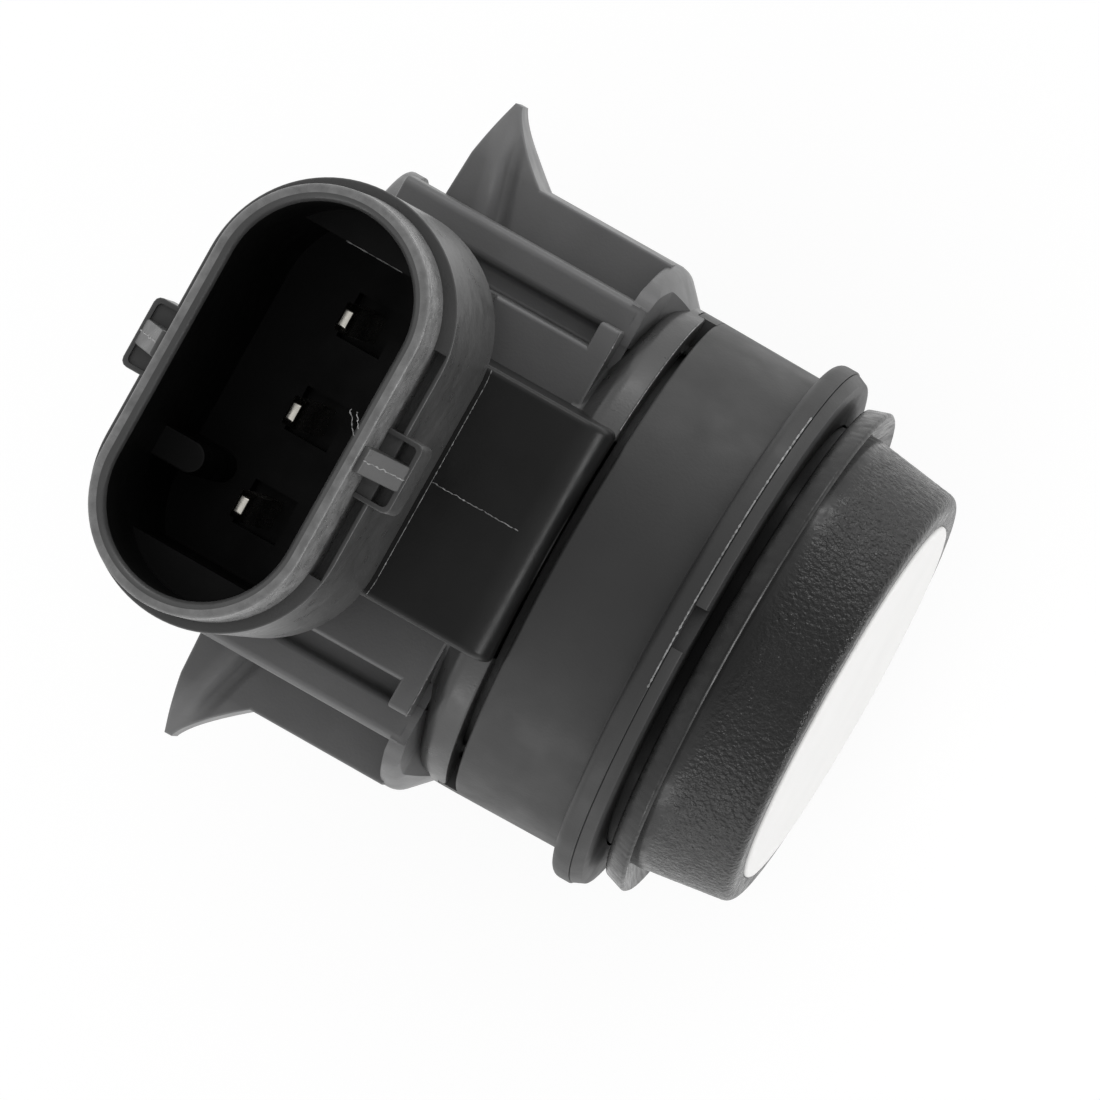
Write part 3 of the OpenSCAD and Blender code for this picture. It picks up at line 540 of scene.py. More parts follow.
housing = {
    "rear": -18.0, "tubeFront": -7.6, "sideY": 9.7, "wallY": 9.1, "boreR": 8.2,
    "edge": 0.1, "railZ": 5.8, "railH": 2.2, "railRound": 0.4, "railFoot": 0.2,
    "slotY": 8.3, "slotZ": 5.0, "slotRound": 0.3, "slotLean": 0.15, "slotFoot": 0.25,
    "roofY": 7.4, "roofZ": 7.3, "roofRound": 0.2, "roofFoot": 0.15,
    "flareY": 8.5, "flareRear": -8.47, "flareFront": -7.6,
    "neckR": 9.0, "neckX": -7.5, "neckRound": 0.3, "bandR": 10.5, "bandRear": -6.72, "bandX": -5.55,
    "bandEdge": 0.6, "bandSink": 0.5, "plugBoreR": 9.4, "plugBoreX": -6.1,
    "frameRear": -7.92, "frameR": 11.6, "frameCrest": -7.26, "frameFoot": -6.2, "frameRound": 2.2,
    "frameInY": 8.0, "frameFootZ": 1.6, "frameMidX": -7.0, "frameMidZ": 3.7, "frameMidRound": 1,
    "frameEdge": 0.2, "frameSink": 0.3, "frameReach": 0.1, "frameArc": 20, "crestRound": 0.8,
    "apronIn": 7, "apronOut": 9.6, "apronLow": 2, "apronDrop": 0.03, "apronOverlap": 0.3,
    "keyX": -5.9, "keyZ": 1.85, "keySink": 0.3, "keyRise": 0.4}


def makeClipFrame():
    # a sloping collar, cut to the clip's side and back at its upper and lower corners
    s = housing
    rail, inR, arc = s["railZ"], s["boreR"] - s["frameSink"], radians(s["frameArc"])
    collar = turned(roundedOutline([
        (s["frameRear"], inR, 0), (s["frameRear"], s["frameR"], s["frameEdge"]),
        (s["frameCrest"], s["frameR"], s["crestRound"]), (s["frameFoot"], s["bandR"] - apart, 0),
        (s["frameFoot"], inR, 0),
    ]), fine)
    crestY = (s["frameR"] ** 2 - rail ** 2) ** 0.5
    side = [(s["frameInY"], -rail, 0), (crestY, -rail, s["frameRound"])]
    side += [(a, b, 0) for a, b in arcPoints(0, 0, s["frameR"], -arc, arc)]
    side += [(crestY, rail, s["frameRound"]), (s["frameInY"], rail, 0)]
    slant = [(s["frameRear"] - beyond, rail + beyond, 0), (s["frameCrest"], rail, 0),
             (s["frameMidX"], s["frameMidZ"], s["frameMidRound"]),
             (s["frameFoot"] + s["frameReach"], s["frameFootZ"], 0)]
    slant += [(x, -z, r) for x, z, r in reversed(slant)]
    return combine(collar, "INTERSECT", prism(roundedOutline(side), "x", -wide, wide),
                   prism(roundedOutline(slant), "y", 0, wide))


def makeTube():
    s = housing
    side, rail, slotY, slotZ = s["sideY"], s["railZ"], s["slotY"], s["slotZ"]
    right = [(s["wallY"], rail - s["railH"], 0), (side, rail - s["railH"], s["railFoot"]),
             (side, rail, s["railRound"]), (slotY, rail, s["slotRound"]),
             (slotY - s["slotLean"], slotZ, s["slotFoot"]), (s["roofY"], slotZ, s["roofFoot"]),
             (s["roofY"], s["roofZ"], s["roofRound"])]
    left = [(-a, b, r) for a, b, r in reversed(right)]
    under = [(a, b, 0) for a, b in arcPoints(0, 0, s["wallY"], pi, 2 * pi, steps=80)]
    section = roundedOutline(right + left + under)
    tube = soften(prism(section, "x", s["rear"], s["tubeFront"]), s["edge"], edgeAt(0, s["rear"]), 2)
    flare = prism(roundedOutline([(s["flareY"], 0, 0), (s["flareY"], s["roofZ"], s["roofRound"]),
                                  (-s["flareY"], s["roofZ"], s["roofRound"]), (-s["flareY"], 0, 0)]),
                  "x", s["flareRear"], s["flareFront"])
    soften(flare, s["edge"], edgeAt(0, s["flareFront"], s["flareRear"]))
    inR = s["boreR"] - s["bandSink"]
    band = turned(roundedOutline([
        (s["frameRear"], inR, 0), (s["frameRear"], s["neckR"], 0),
        (s["neckX"], s["neckR"], s["neckRound"]), (s["bandRear"], s["bandR"], s["bandEdge"]),
        (s["bandX"], s["bandR"], s["edge"]), (s["bandX"], inR, 0),
    ]), fine)
    frameLeft = makeClipFrame()
    frameRight = mirrored(frameLeft, 1)
    apron = slab((s["tubeFront"] - s["apronOverlap"], s["apronIn"], s["apronLow"]),
                 (s["frameCrest"], s["apronOut"], rail - s["apronDrop"]))
    whole = combine(tube, "UNION", flare, band, frameLeft, frameRight, mirrored(apron, 1), apron)
    start, end = s["rear"] - beyond, s["bandX"] + beyond
    bores = turned([(start, 0), (start, s["boreR"]), (s["plugBoreX"], s["boreR"]),
                    (s["plugBoreX"], s["plugBoreR"]), (end, s["plugBoreR"]), (end, 0)])
    keyIn, keyOut = s["plugBoreR"] - s["keySink"], s["bandR"] + s["keyRise"]
    keys = lockKeys(s["keyX"], end, keyIn, keyOut, s["keyZ"])
    whole = combine(whole, "DIFFERENCE", bores, keys)
    bmesh.ops.holes_fill(whole, edges=[e for e in whole.edges if e.is_boundary], sides=4)
    for face in whole.faces:  # the band keeps the smoother, darker plastic of the connector, without the painted light of the tube
        place = face.calc_center_median()
        if place.x > s["frameCrest"] and place.yz.length < s["bandR"] + 2 * margin:
            face.material_index = 1
    return whole


arm = {"frontX": -7.7, "freeX": -16.72, "inY": 9.5, "outY": 11.55, "barbY": 14.0, "tipX": -16.22,
       "tipLen": 0.3, "ramp": 2.3, "rampSine": 0.75, "hollow": 1.33, "heel": 0.1,
       "width": 4.2, "headWidth": 5.4, "tipWidth": 2.6, "creaseX": -14.53, "creaseY": 10, "creaseLean": 0.29,
       "headFade": 1.1, "valley": 0.26, "valleyReach": 0.6, "edge": 0.1, "taperEase": 1.8,
       "headColumns": 48, "armColumns": 60, "lowRows": 24, "barbRows": 40}


def eased(k, count):
    # steps that lie closer together at both ends
    return (1 - cos(pi * k / count)) / 2


def smoothStep(value):
    value = min(1, max(0, value))
    return value * value * (3 - 2 * value)


def armPoint(column, row):
    # place in the arm's side view, and how far it is from the rounded edge
    s = arm
    rampX = s["tipX"] + s["tipLen"] + s["ramp"]
    heelX = s["freeX"] + s["heel"]
    if row <= s["lowRows"]:
        share = eased(row, s["lowRows"])
        y = s["inY"] + (s["outY"] - s["inY"]) * share
        rear, front = s["freeX"] + s["heel"] * share, rampX
    else:
        share = eased(row - s["lowRows"], s["barbRows"])
        y = s["outY"] + (s["barbY"] - s["outY"]) * share
        rear = heelX + (s["tipX"] - heelX) * share
        front = s["tipX"] + s["tipLen"] + s["ramp"] * (1 - share) ** s["hollow"]
    if column > s["headColumns"]:
        x = rampX + (s["frontX"] - rampX) * (column - s["headColumns"]) / s["armColumns"]
        return x, y, s["outY"] - y
    x = rear + (front - rear) * eased(column, s["headColumns"])
    if row <= s["lowRows"]:
        corner = Vector((rampX - x, s["outY"] - y)).length
        return x, y, min(x - rear, corner)
    return x, y, min(x - rear, s["rampSine"] * (front - x), s["barbY"] - y)


def armHalfWidth(x, y, fromEdge):
    # wider at the barb behind a slanting crease, narrowing to its tip, rounded at the edges
    s = arm
    half, headHalf = s["width"] / 2, s["headWidth"] / 2
    crease = s["creaseX"] - s["creaseLean"] * (y - s["creaseY"])
    width = half + (headHalf - half) * smoothStep((crease - x) / s["headFade"])
    width -= s["valley"] * (1 - smoothStep(abs(x - crease) / s["valleyReach"]))
    rise = max(0, y - s["outY"]) / (s["barbY"] - s["outY"])
    width *= 1 - rise ** s["taperEase"] * (1 - s["tipWidth"] / s["headWidth"])
    short = max(0, s["edge"] - fromEdge)
    return width - s["edge"] + (s["edge"] ** 2 - short ** 2) ** 0.5


def makeArm():
    # a flat grid is shaped into the arm's upper side, then extruded to the mirrored lower one
    s = arm
    bm = bmesh.new()
    columns, rows = s["headColumns"] + s["armColumns"], s["lowRows"] + s["barbRows"]
    bmesh.ops.create_grid(bm, x_segments=columns, y_segments=rows, size=1)
    places = {v: (round((v.co.x + 1) / 2 * columns), round((v.co.y + 1) / 2 * rows)) for v in bm.verts}
    spare = [v for v, (column, row) in places.items() if column > s["headColumns"] and row > s["lowRows"]]
    bmesh.ops.delete(bm, geom=spare, context="VERTS")
    for vert in bm.verts:
        x, y, fromEdge = armPoint(*places[vert])
        vert.co = x, y, armHalfWidth(x, y, fromEdge)
    upper = bm.verts[:] + bm.edges[:] + bm.faces[:]
    lower = bmesh.ops.extrude_face_region(bm, geom=upper, use_keep_orig=True)["geom"]
    for vert in vertsOf(lower):
        vert.co.z *= -1
    bmesh.ops.recalc_face_normals(bm, faces=bm.faces)
    return bm


tubePiece = addPiece("housingTube", makeTube(), paintedLightHousingPlastic, ["rear_housing"])
tubePiece.data.materials.append(connectorPlastic)
armLeft = makeArm()
armRight = mirrored(armLeft, 1)
addPiece("clipArmLeft", armLeft, paintedLightClipPlastic, ["rear_housing"])
addPiece("clipArmRight", armRight, paintedLightClipPlastic, ["rear_housing"])


# Connector: block, neck, shelf, lip, lugs and the keyed socket

connector = {
    "x": -15.74, "z": 11.6, "tilt": 5.1, "low": 6.2, "blockY": 5.08, "blockRear": -14.5,
    "blockFront": -5.55, "blockRound": 1.4, "blockEdge": 0.32, "edgeLow": 9, "blockDraft": 0.15,
    "neckY": 7.38,
    "neck": [(-17.98, 6.2), (-12.37, 6.2), (-12.83, 11.45), (-19.15, 10.89), (-17.98, 9.8)],
    "baseW": 10.0, "baseL": 18.2, "baseH": 8.45, "under": 0.5, "shelfRound": 0.08,
    "footR": 4.83, "shelfR": 5.14, "shelfStep": 0.05, "recessY": 4.9, "recessDepth": 1.0,
    "recessSink": 0.1, "recessOverlap": 0.2, "recessWall": 0.16,
    "mouthW": 8.85, "mouthL": 17.7, "mouthZ": 11.25, "mouthLow": -0.3, "wall": 0.66,
    "rimOuter": 0.14, "rimInner": 0.4, "rimStep": 0.04, "rimDepth": 0.6, "floorLow": -0.45,
    "sunk": -0.1, "flatY": 6.76, "ledgeZ": 6.2, "codingY": -3.4, "codingW": 1.3, "codingH": 2.0,
    "codingZ": 6.0, "codingEdge": 0.12,
    "pinPitch": 4.1, "pocket": 1.9, "pocketDepth": 0.9, "pocketTop": 0.3}
connectorPlace = (Matrix.Translation((connector["x"], 0, connector["z"]))
                  @ Matrix.Rotation(radians(-connector["tilt"]), 4, "Y"))


def placed(bm):
    bmesh.ops.transform(bm, matrix=connectorPlace, verts=bm.verts)
    return bm


lug = {"inX": 4.1, "outX": 6.0, "halfY": 1.5, "low": 6.7, "top": 8.6, "frame": 0.2, "pocketX": 4.425,
       "frontDepth": 0.9, "rearDepth": 0.15, "sideRound": 0.3, "topRound": 0.06, "pocketRound": 0.2,
       "ribHalf": 0.55, "ribTop": 10.95, "ribTopX": 4.63, "ribFoot": 0.1, "ribRound": 0.15, "ribEdge": 0.08}


def makeLug(pocketDepth):
    s = lug
    body = slab((s["inX"], -s["halfY"], s["low"]), (s["outX"], s["halfY"], s["top"]))
    outer = edgeAt(0, s["outX"])
    soften(body, s["sideRound"], lambda e: outer(e) and rises(e))
    soften(body, s["topRound"], edgeAt(2, s["top"]))
    pocket = slab((s["pocketX"], -s["halfY"] + s["frame"], s["top"] - pocketDepth),
                  (s["outX"] - s["frame"], s["halfY"] - s["frame"], s["top"] + beyond))
    soften(pocket, s["pocketRound"], lambda e: rises(e) and e.verts[0].co.x > s["pocketX"] + margin)
    rib = prism(roundedOutline([(s["inX"], s["low"], 0), (s["outX"], s["low"], 0),
                                (s["outX"], s["top"] - s["frame"], s["ribFoot"]),
                                (s["ribTopX"], s["ribTop"], s["ribRound"]), (s["inX"], s["ribTop"], 0)]),
                "y", -s["ribHalf"], s["ribHalf"])
    soften(rib, s["ribEdge"], edgeAt(1, s["ribHalf"], -s["ribHalf"]), 2)
    return combine(combine(body, "DIFFERENCE", pocket), "UNION", rib)


def makeConnector():
    s = connector
    mouthR, socketR = s["mouthW"] / 2, s["mouthW"] / 2 - s["wall"]
    middleR = mouthR - s["wall"] / 2
    base = ovalSwept(roundedOutline([(middleR, -s["under"], 0), (s["footR"], -s["under"], 0),
                                     (s["shelfR"], s["baseH"], s["shelfRound"]), (middleR, s["baseH"], 0)],
                                    s["shelfStep"]), s["baseL"] - s["baseW"])
    recess = slab((mouthR - s["recessSink"], lug["halfY"] - s["recessOverlap"],
                   s["baseH"] - s["recessDepth"]),
                  (s["shelfR"] - s["recessWall"], s["recessY"], s["baseH"] + beyond))
    recesses = [recess, mirrored(recess, 0), mirrored(recess, 1), mirrored(mirrored(recess, 0), 1)]
    base = combine(base, "DIFFERENCE", *reversed(recesses))
    straight = s["mouthL"] - s["mouthW"]
    mouth = ovalSwept(roundedOutline([(socketR, s["mouthLow"], 0), (mouthR, s["mouthLow"], 0),
                                      (mouthR, s["mouthZ"], s["rimOuter"]),
                                      (socketR, s["mouthZ"], s["rimInner"])], s["rimStep"]), straight)
    inside = ovalOutline(2 * middleR, 2 * middleR + straight)
    floor = prism(inside, "z", s["floorLow"], 0)
    ledges = combine(prism(inside, "z", s["sunk"], s["ledgeZ"]),
                     "DIFFERENCE", slab((-wide, -s["flatY"], -wide), (wide, s["flatY"], wide)))
    ribR, ribX = s["codingW"] / 2, s["codingH"] - socketR - s["codingW"] / 2
    coding = prism([(-middleR, s["codingY"] - ribR),
                    *arcPoints(ribX, s["codingY"], ribR, -pi / 2, pi / 2, steps=24),
                    (-middleR, s["codingY"] + ribR)], "z", s["sunk"], s["codingZ"])
    soften(coding, s["codingEdge"], edgeAt(2, s["codingZ"]), 2)
    lugFront = makeLug(lug["frontDepth"])
    lugRear = mirrored(makeLug(lug["rearDepth"]), 0)
    shroud = placed(combine(base, "UNION", mouth, floor, lugFront, lugRear, ledges, coding))
    neck = prism(s["neck"], "y", -s["neckY"], s["neckY"])
    whole = combine(shroud, "UNION", neck)
    pockets = []
    for k in (-1, 0, 1):
        y, half = k * s["pinPitch"], s["pocket"] / 2
        pockets.append(placed(slab((-half, y - half, -s["pocketDepth"]), (half, y + half, s["pocketTop"]))))
    bore = turned([(-wide, 0), (-wide, housing["boreR"]), (0, housing["boreR"]), (0, 0)])
    whole = combine(whole, "DIFFERENCE", *pockets, bore)
    toSocket = connectorPlace.inverted()
    for face in whole.faces:  # painted shade inside the socket; worn rim with painted sheen round the mouth
        place = toSocket @ face.calc_center_median()
        across = Vector((place.x, max(0, abs(place.y) - straight / 2)))
        inPocket = abs(place.x) < s["pocket"] / 2 + 5 * margin and place.z > -s["pocketDepth"] - 10 * margin
        looksDown = face.normal.z <= -0.5
        inSocket = across.length < socketR + 2 * margin and place.z < s["mouthZ"] - s["rimDepth"]
        if inSocket and (place.z > 2 * s["sunk"] or inPocket and not looksDown):
            face.material_index = 1
        # the mouth's rim and outer wall: worn rim, plus painted sheen on the wall
        elif across.length > middleR and place.z > s["baseH"] + 5 * margin and abs(place.x) < mouthR + margin:
            face.material_index = 2
    return whole


def makeBlock():
    s = connector
    block = prism(roundedOutline([(s["blockRear"], s["low"], 0), (s["blockFront"], s["low"], 0),
                                  (s["blockFront"], s["z"], s["blockRound"]), (s["blockRear"], s["z"], 0)]),
                  "y", -s["blockY"], s["blockY"])
    sides = edgeAt(1, s["blockY"], -s["blockY"])
    soften(block, s["blockEdge"], lambda e: sides(e) and max(v.co.z for v in e.verts) > s["edgeLow"], 4)
    for vert in block.verts:  # draft of the moulded sides
        vert.co.y *= 1 + s["blockDraft"] / s["blockY"] * (1 - vert.co.z / s["z"])
    h = housing
    bores = turned([(-wide, 0), (-wide, h["boreR"]), (h["plugBoreX"], h["boreR"]),
                    (h["plugBoreX"], h["plugBoreR"]), (0, h["plugBoreR"]), (0, 0)])
    return combine(block, "DIFFERENCE", bores)


terminal = {"w": 1.2, "t": 0.64, "tip": 4.6, "taper": 0.5, "endW": 0.7, "endT": 0.4, "endSlant": 0.14,
            "low": -10.7, "edge": 0.07}


def makeTerminal(k):
    s = terminal
    bm = slab((-s["t"] / 2, -s["w"] / 2, s["low"]), (s["t"] / 2, s["w"] / 2, s["tip"] - s["taper"]))
    top = [f for f in bm.faces if f.normal.z > 0.9]
    tip = vertsOf(bmesh.ops.extrude_face_region(bm, geom=top)["geom"])
    bmesh.ops.delete(bm, geom=top, context="FACES_ONLY")
    for vert in tip:
        vert.co.x *= s["endT"] / s["t"]
        vert.co.y *= s["endW"] / s["w"]
        vert.co.z += s["taper"] + s["endSlant"] * (vert.co.x - s["endT"] / 2)
    bmesh.ops.recalc_face_normals(bm, faces=bm.faces)
    soften(bm, s["edge"], lambda e: True, 4)
    bmesh.ops.translate(bm, verts=bm.verts, vec=(0, k * connector["pinPitch"], 0))
    return placed(bm)


shroud = addPiece("connectorShroud", makeConnector(), connectorPlastic, ["rear_housing"])
# second finish: painted shade inside the socket
shroud.data.materials.append(paintedShadeBlack)
shroud.data.materials.append(rimWearAndSheenPlastic)
# the block's top is darkened in its colour as painted shade
addPiece("connectorBlock", makeBlock(), polishedPlasticPaintedShade, ["rear_housing"])
for k, side in ((1, "left"), (0, "middle"), (-1, "right")):
    addPiece(f"terminal-{side}", makeTerminal(k), tinnedMetal, [f"terminal_pin_{side}"])

cover = {"rear": -18.65, "front": -18.0, "r": 9.7, "plugR": 8.15, "plugInR": 7.15, "plugX": -17.4,
         "edge": 0.18, "steps": 200}


def makeCover():
    s = cover
    return turned(roundedOutline([
        (s["rear"], 0, 0), (s["rear"], s["r"], s["edge"]), (s["front"], s["r"], 0),
        (s["front"], s["plugR"], 0), (s["plugX"], s["plugR"], 0), (s["plugX"], s["plugInR"], 0),
        (s["front"], s["plugInR"], 0), (s["front"], 0, 0),
    ]), s["steps"])


addPiece("rearCover", makeCover(), paintedLightHousingPlastic, ["rear_cover"])
print("rear end made")


# Moulding flash and painted edge highlights: thin ragged lines along the joints and edges

# the seam and flare entries set lines that are painted edge highlights, not flash
flash = {
    "thinnest": 0.15, "mean": 0.7, "swing": 1.3, "pace": 0.43, "edgeThick": 0.02,
    "jointFrom": -14, "jointTo": 54, "jointThick": 0.04, "jointSteps": 240,
    "seamFrom": 30, "seamTo": 74, "seamBack": 0.03, "seamSteps": 160,
    "blockFrom": -10.65, "blockTo": -6.85, "blockY": 0.06, "blockWave": 0.05, "blockPace": 0.2,
    "blockThick": 0.022, "blockSteps": 80, "baseShare": 0.97, "baseSteps": 160,
    "flareGap": 0.2, "flareStep": 0.041, "flareCount": 80,
    "lugWave": 0.08, "lugPace": 0.3, "lugThick": 0.03, "lugSteps": 40,
    "ledgeFrom": -1.1, "ledgeStep": 0.1, "ledgeCount": 26,
    "rimIn": 0.3, "rimDrop": 0.09, "rimStep": 0.2, "rimThick": 0.035,
    "hairEnd": 1.5, "hairBend": 0.6, "hairSway": 0.12, "hairPace": 4, "hairDrop": 0.1,
    "hairThick": 0.025, "hairSteps": 24}


def raggedLine(name, path, thickness, seed):
    curve = bpy.data.curves.new(name, "CURVE")
    curve.dimensions = "3D"
    curve.bevel_depth = thickness
    curve.bevel_resolution = 1
    curve.use_fill_caps = True
    spline = curve.splines.new("POLY")
    spline.points.add(len(path) - 1)
    for k, (point, place) in enumerate(zip(spline.points, path)):
        point.co = (*place, 1)
        uneven = flash["mean"] + flash["swing"] * noise.noise((k * flash["pace"], seed, 0))
        point.radius = max(flash["thinnest"], uneven)
    scratch = newObject("scratch", curve)
    mesh = bpy.data.meshes.new_from_object(scratch.evaluated_get(bpy.context.evaluated_depsgraph_get()))
    bpy.data.objects.remove(scratch)
    bm = bmesh.new()
    bm.from_mesh(mesh)
    addPiece(name, bm, flashAndHighlightPlastic, [])


def ringArc(x, radius, start, end, steps):
    # part of a circle round the sensing axis, between two angles from the top
    angles = [radians(start + (end - start) * k / steps) for k in range(steps + 1)]
    return [(x, radius * sin(angle), radius * cos(angle)) for angle in angles]


def makeFlashAndHighlights():
    s, c = flash, connector
    joint = ringArc(sleeve["jointX"] - s["jointThick"], sleeve["collarR"],
                    s["jointFrom"], s["jointTo"], s["jointSteps"])
    raggedLine("jointFlash", joint, s["jointThick"], 1)
    length, steps = s["blockTo"] - s["blockFrom"], s["blockSteps"]
    line = []
    for k in range(steps + 1):
        sway = s["blockWave"] * noise.noise((k * s["blockPace"], 5, 0))
        line.append((s["blockFrom"] + length * k / steps, s["blockY"] + sway, c["z"]))
    raggedLine("blockFlash", line, s["blockThick"], 2)
    baseR, endY, steps = c["baseW"] / 2, (c["baseL"] - c["baseW"]) / 2, s["baseSteps"]
    base = []
    for k in range(steps + 1):
        y = (2 * k / steps - 1) * c["blockY"] * s["baseShare"]
        out = (baseR ** 2 - max(0, abs(y) - endY) ** 2) ** 0.5
        base.append((c["x"] + out / cos(radians(c["tilt"])) + apart, y, c["z"] + apart / 2))
    raggedLine("baseFlash", base, s["edgeThick"], 3)
    start = c["blockY"] + s["flareGap"]
    # pale lines along the flare's front edges: painted highlight
    for name, way, seed in (("flareEdgeHighlightLeft", 1, 10), ("flareEdgeHighlightRight", -1, 11)):
        edge = [(housing["flareFront"], way * (start + s["flareStep"] * k), housing["roofZ"] - apart)
                for k in range(s["flareCount"])]
        raggedLine(name, edge, s["edgeThick"], seed)
    # pale line along the band's front edge: painted highlight
    seam = ringArc(housing["bandX"] - s["seamBack"], housing["bandR"],
                   s["seamFrom"], s["seamTo"], s["seamSteps"])
    raggedLine("bandEdgeHighlight", seam, s["edgeThick"], 12)
    foot, steps = lug["top"] - lug["frame"], s["lugSteps"]
    for name, way, seed in (("lugFlashFront", 1, 4), ("lugFlashRear", -1, 6)):
        rib = []
        for k in range(steps + 1):
            x = lug["ribTopX"] + (lug["outX"] - lug["ribTopX"]) * k / steps
            z = lug["ribTop"] + (foot - lug["ribTop"]) * k / steps
            sway = s["lugWave"] * noise.noise((k * s["lugPace"], seed, 0))
            rib.append(connectorPlace @ Vector((way * x, sway, z)))
        raggedLine(name, rib, s["lugThick"], seed)
    ledge = [connectorPlace @ Vector((s["ledgeFrom"] + s["ledgeStep"] * k, c["flatY"], c["ledgeZ"]))
             for k in range(s["ledgeCount"])]
    raggedLine("ledgeFlash", ledge, s["lugThick"], 13)
    rimR = c["mouthW"] / 2 - c["wall"] + s["rimIn"]
    outline = ovalOutline(2 * rimR, 2 * rimR + c["mouthL"] - c["mouthW"])
    closer = []
    for k, here in enumerate(outline):
        gap = here - outline[k - 1]
        parts = max(1, int(gap.length / s["rimStep"]))
        closer += [outline[k - 1] + gap * p / parts for p in range(1, parts + 1)]
    rim = [connectorPlace @ Vector((p.x, p.y, c["mouthZ"] - s["rimDrop"])) for p in closer + closer[:1]]
    raggedLine("rimFlash", rim, s["rimThick"], 7)
    for name, reach, length, seed in (("rimHairLong", 0.75, 0.9, 8), ("rimHairShort", 0.5, 0.6, 9)):
        hair = []
        for k in range(s["hairSteps"] + 1):
            part = k / s["hairSteps"]
            sway = s["hairSway"] * noise.noise((part * s["hairPace"], seed, 0))
            x = rimR - reach * part ** s["hairBend"] + sway
            y = s["hairEnd"] - length + length * part
            hair.append(connectorPlace @ Vector((x, y, c["mouthZ"] - s["hairDrop"])))
        raggedLine(name, hair, s["hairThick"], seed)


makeFlashAndHighlights()
print("flash made")


# Inner pieces keep their solids and get finishes of their own

inner = {"shade": 0.75, "patchScale": 2.5, "bright": 0.8, "dull": 1.2, "bumpScale": 6, "bumpDepth": 0.00002}


def plainFinish(name, look):
    # clouded colour, uneven gloss and a fine bump
    colour, rough, scale = look["colour"], look["roughness"], look["scale"]
    material, tree, shader = newMaterial(name, colour, rough, look["metallic"])
    cloudColour(tree, shader, scale, colour, tuple(inner["shade"] * part for part in colour))
    unevenGloss(tree, shader, scale * inner["patchScale"], rough * inner["bright"], rough * inner["dull"])
    bumps = objectNoise(tree, scale * inner["bumpScale"])
    addBump(tree, shader, bumps.outputs["Fac"], look["bump"], inner["bumpDepth"])
    return material


innerLabels = ("colour", "roughness", "metallic", "scale", "bump", "nodes")
innerLooks = {
    "piezo ceramic": ((0.6, 0.57, 0.42), 0.55, 0, 900, 0.2, ["piezo_disc"]),
    "closed-cell foam": ((0.16, 0.16, 0.17), 0.9, 0, 1500, 0.9, ["damping_pad"]),
    "carrier plastic": ((0.05, 0.05, 0.06), 0.5, 0, 600, 0.2, ["contact_carrier"]),
    "contact brass": ((0.72, 0.55, 0.25), 0.3, 1, 2500, 0.1, ["contact_pin_left", "contact_pin_right"]),
    "enamelled copper": ((0.62, 0.3, 0.14), 0.35, 1, 2000, 0.3,
                         ["piezo_lead_live", "piezo_lead_return", "transformer_winding"]),
    "solder mask": ((0.03, 0.16, 0.08), 0.35, 0, 700, 0.2, ["circuit_board"]),
    "chip epoxy": ((0.03, 0.03, 0.032), 0.6, 0, 1800, 0.4, ["control_chip"]),
    "ground ferrite": ((0.09, 0.09, 0.095), 0.5, 0, 1600, 0.3, ["transformer_core"]),
    "capacitor epoxy": ((0.6, 0.36, 0.07), 0.25, 0, 900, 0.1, ["storage_capacitor"]),
    "capacitor ceramic": ((0.5, 0.36, 0.2), 0.5, 0, 1500, 0.2, ["filter_capacitors"]),
    "resistor ceramic": ((0.05, 0.05, 0.055), 0.5, 0, 1500, 0.2, ["chip_resistors"]),
}

for finishName, values in innerLooks.items():
    look = dict(zip(innerLabels, values))
    finish = plainFinish(finishName, look)
    for nodeName in look["nodes"]:
        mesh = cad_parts[nodeName].data
        mesh.materials.clear()
        mesh.materials.append(finish)
print("inner finishes made")


# Camera at the photograph's angle: almost straight down the connector, with a little lean

shot = {"target": (-6.66, -0.5, 0.0), "lean": 6.1, "roll": 2.6, "turn": 29.5, "width": 42.7, "distance": 1000}


def makeCamera():
    t, roll, turn = (radians(shot[k]) for k in ("lean", "roll", "turn"))
    across = Vector((0, cos(roll), -sin(roll)))
    upright = Vector((0, sin(roll), cos(roll)))
    along = Vector((cos(t), 0, 0)) - upright * sin(t)
    back = Vector((sin(t), 0, 0)) + upright * cos(t)
    right = along * cos(turn) + across * sin(turn)
    up = across * cos(turn) - along * sin(turn)
    camera = newObject("camera", bpy.data.cameras.new("camera"))
    turnMatrix = Matrix((right, up, back)).transposed().to_4x4()
    place = (Vector(shot["target"]) + back * shot["distance"]) * mm
    camera.matrix_world = Matrix.Translation(place) @ turnMatrix
    camera.data.sensor_width = 36
    camera.data.lens = camera.data.sensor_width * shot["distance"] / shot["width"]
    camera.data.clip_end = 10
    bpy.context.scene.camera = camera


makeCamera()


# Pale floor and soft white light from all sides

studio = {"floorSize": 1.2, "floorDrop": 0.0003, "floorColour": (0.93, 0.93, 0.93), "floorGlow": 0.85,
          "floorWhite": 1.06, "floorRough": 0.9, "horizon": 0.92, "zenith": 0.45, "low": 0.68, "high": 0.98,
          "frontShare": 0.6, "frontFrom": 0.3, "frontTo": 0.9}


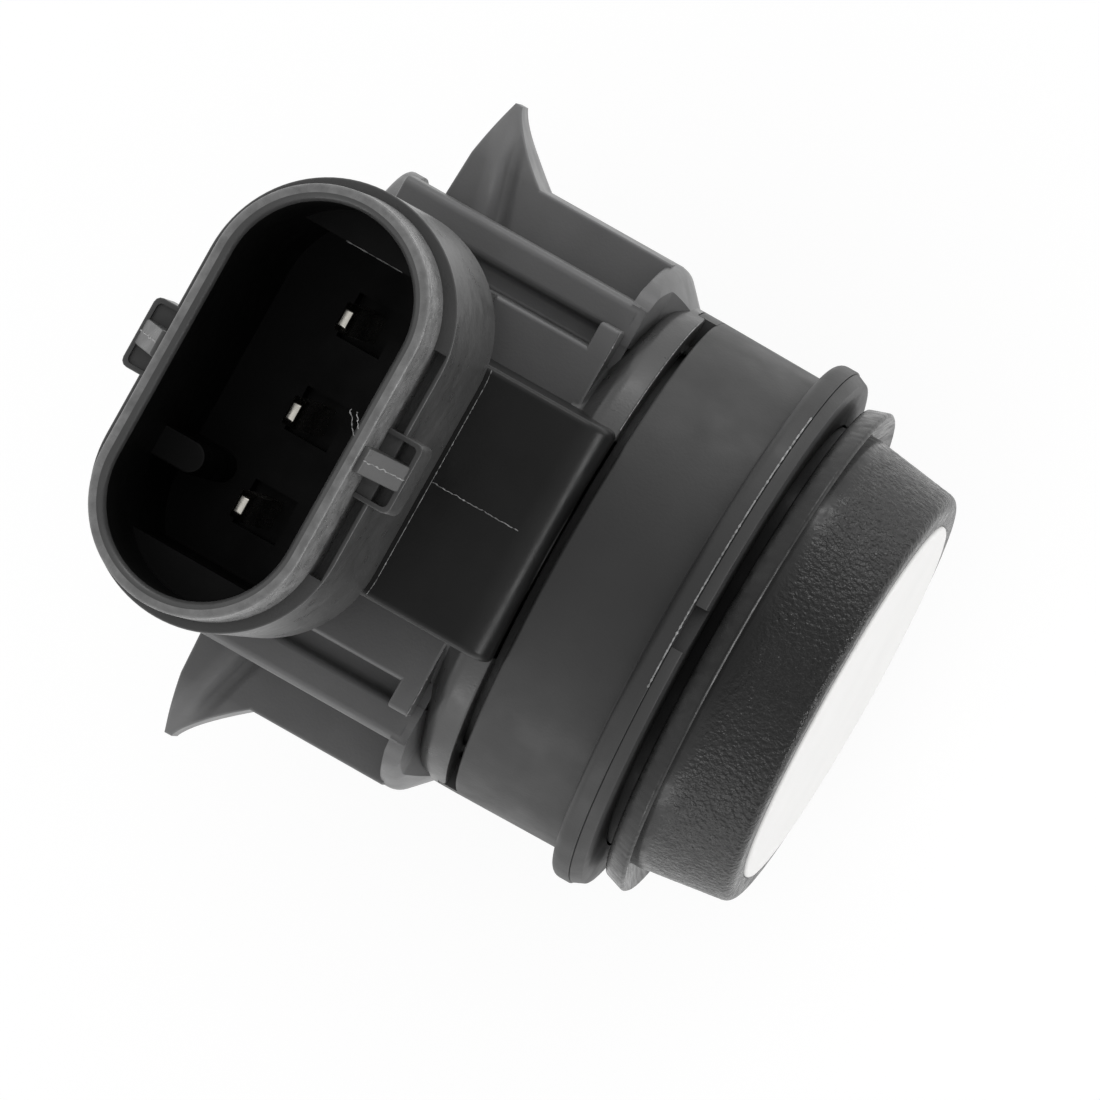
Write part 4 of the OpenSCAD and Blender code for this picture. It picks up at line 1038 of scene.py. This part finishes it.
def makeFloor():
    bm = bmesh.new()
    bmesh.ops.create_grid(bm, x_segments=8, y_segments=8, size=studio["floorSize"])
    mesh = bpy.data.meshes.new("floor")
    bmesh.ops.translate(bm, verts=bm.verts, vec=(0, 0, cadLow.z - studio["floorDrop"]))
    bm.to_mesh(mesh)
    bm.free()
    floor = newObject("floor", mesh)
    material, tree, shader = newMaterial("pale floor", studio["floorColour"], studio["floorRough"])
    mesh.materials.append(material)
    glow = tree.nodes.new("ShaderNodeEmission")
    glow.inputs["Strength"].default_value = studio["floorWhite"]
    rays = tree.nodes.new("ShaderNodeLightPath").outputs
    either = calculated(tree, "MAXIMUM", rays["Is Camera Ray"], rays["Is Glossy Ray"])
    seen = calculated(tree, "MAXIMUM", either, rays["Is Transmission Ray"])
    mix = tree.nodes.new("ShaderNodeMixShader")
    tree.links.new(spread(tree, seen, 0, studio["floorGlow"], 0, 1), mix.inputs[0])
    tree.links.new(shader.outputs[0], mix.inputs[1])
    tree.links.new(glow.outputs[0], mix.inputs[2])
    tree.links.new(mix.outputs[0], tree.nodes["Material Output"].inputs["Surface"])


def makeSky():
    world = bpy.data.worlds.new("light tent")
    bpy.context.scene.world = world
    world.use_nodes = True
    sky = world.node_tree
    place = sky.nodes.new("ShaderNodeTexCoord")
    split = sky.nodes.new("ShaderNodeSeparateXYZ")
    sky.links.new(place.outputs["Generated"], split.inputs[0])
    height = spread(sky, split.outputs["Z"], studio["horizon"], studio["zenith"],
                    studio["low"], studio["high"])
    front = spread(sky, split.outputs["X"], 1, studio["frontShare"], studio["frontFrom"], studio["frontTo"])
    rays = sky.nodes.new("ShaderNodeLightPath")
    seen = sky.nodes.new("ShaderNodeMix")
    seen.inputs[3].default_value = 1.0
    sky.links.new(rays.outputs["Is Camera Ray"], seen.inputs[0])
    sky.links.new(calculated(sky, "MULTIPLY", height, front), seen.inputs[2])
    sky.links.new(seen.outputs[0], sky.nodes["Background"].inputs["Strength"])
    sky.nodes["Background"].inputs["Color"].default_value = (1, 1, 1, 1)


def softBox(name, place, size, power):
    light = bpy.data.lights.new(name, "AREA")
    light.shape = "RECTANGLE"
    light.size, light.size_y = size
    light.energy = power
    lamp = newObject(name, light)
    lamp.location = place
    lamp.rotation_mode = "QUATERNION"
    lamp.rotation_quaternion = (-Vector(place)).to_track_quat("-Z", "Y")
    lamp.visible_camera = False


makeFloor()
makeSky()
softBox("upper side box", (0.0, 0.5, 0.1), (0.3, 0.1), 0.35)
softBox("lower side box", (0.0, -0.5, 0.06), (0.3, 0.1), 0.25)
softBox("front box", (0.5, 0.0, 0.03), (0.3, 0.15), 0.85)
bpy.context.scene.view_settings.view_transform = "Standard"
print("camera and studio made")
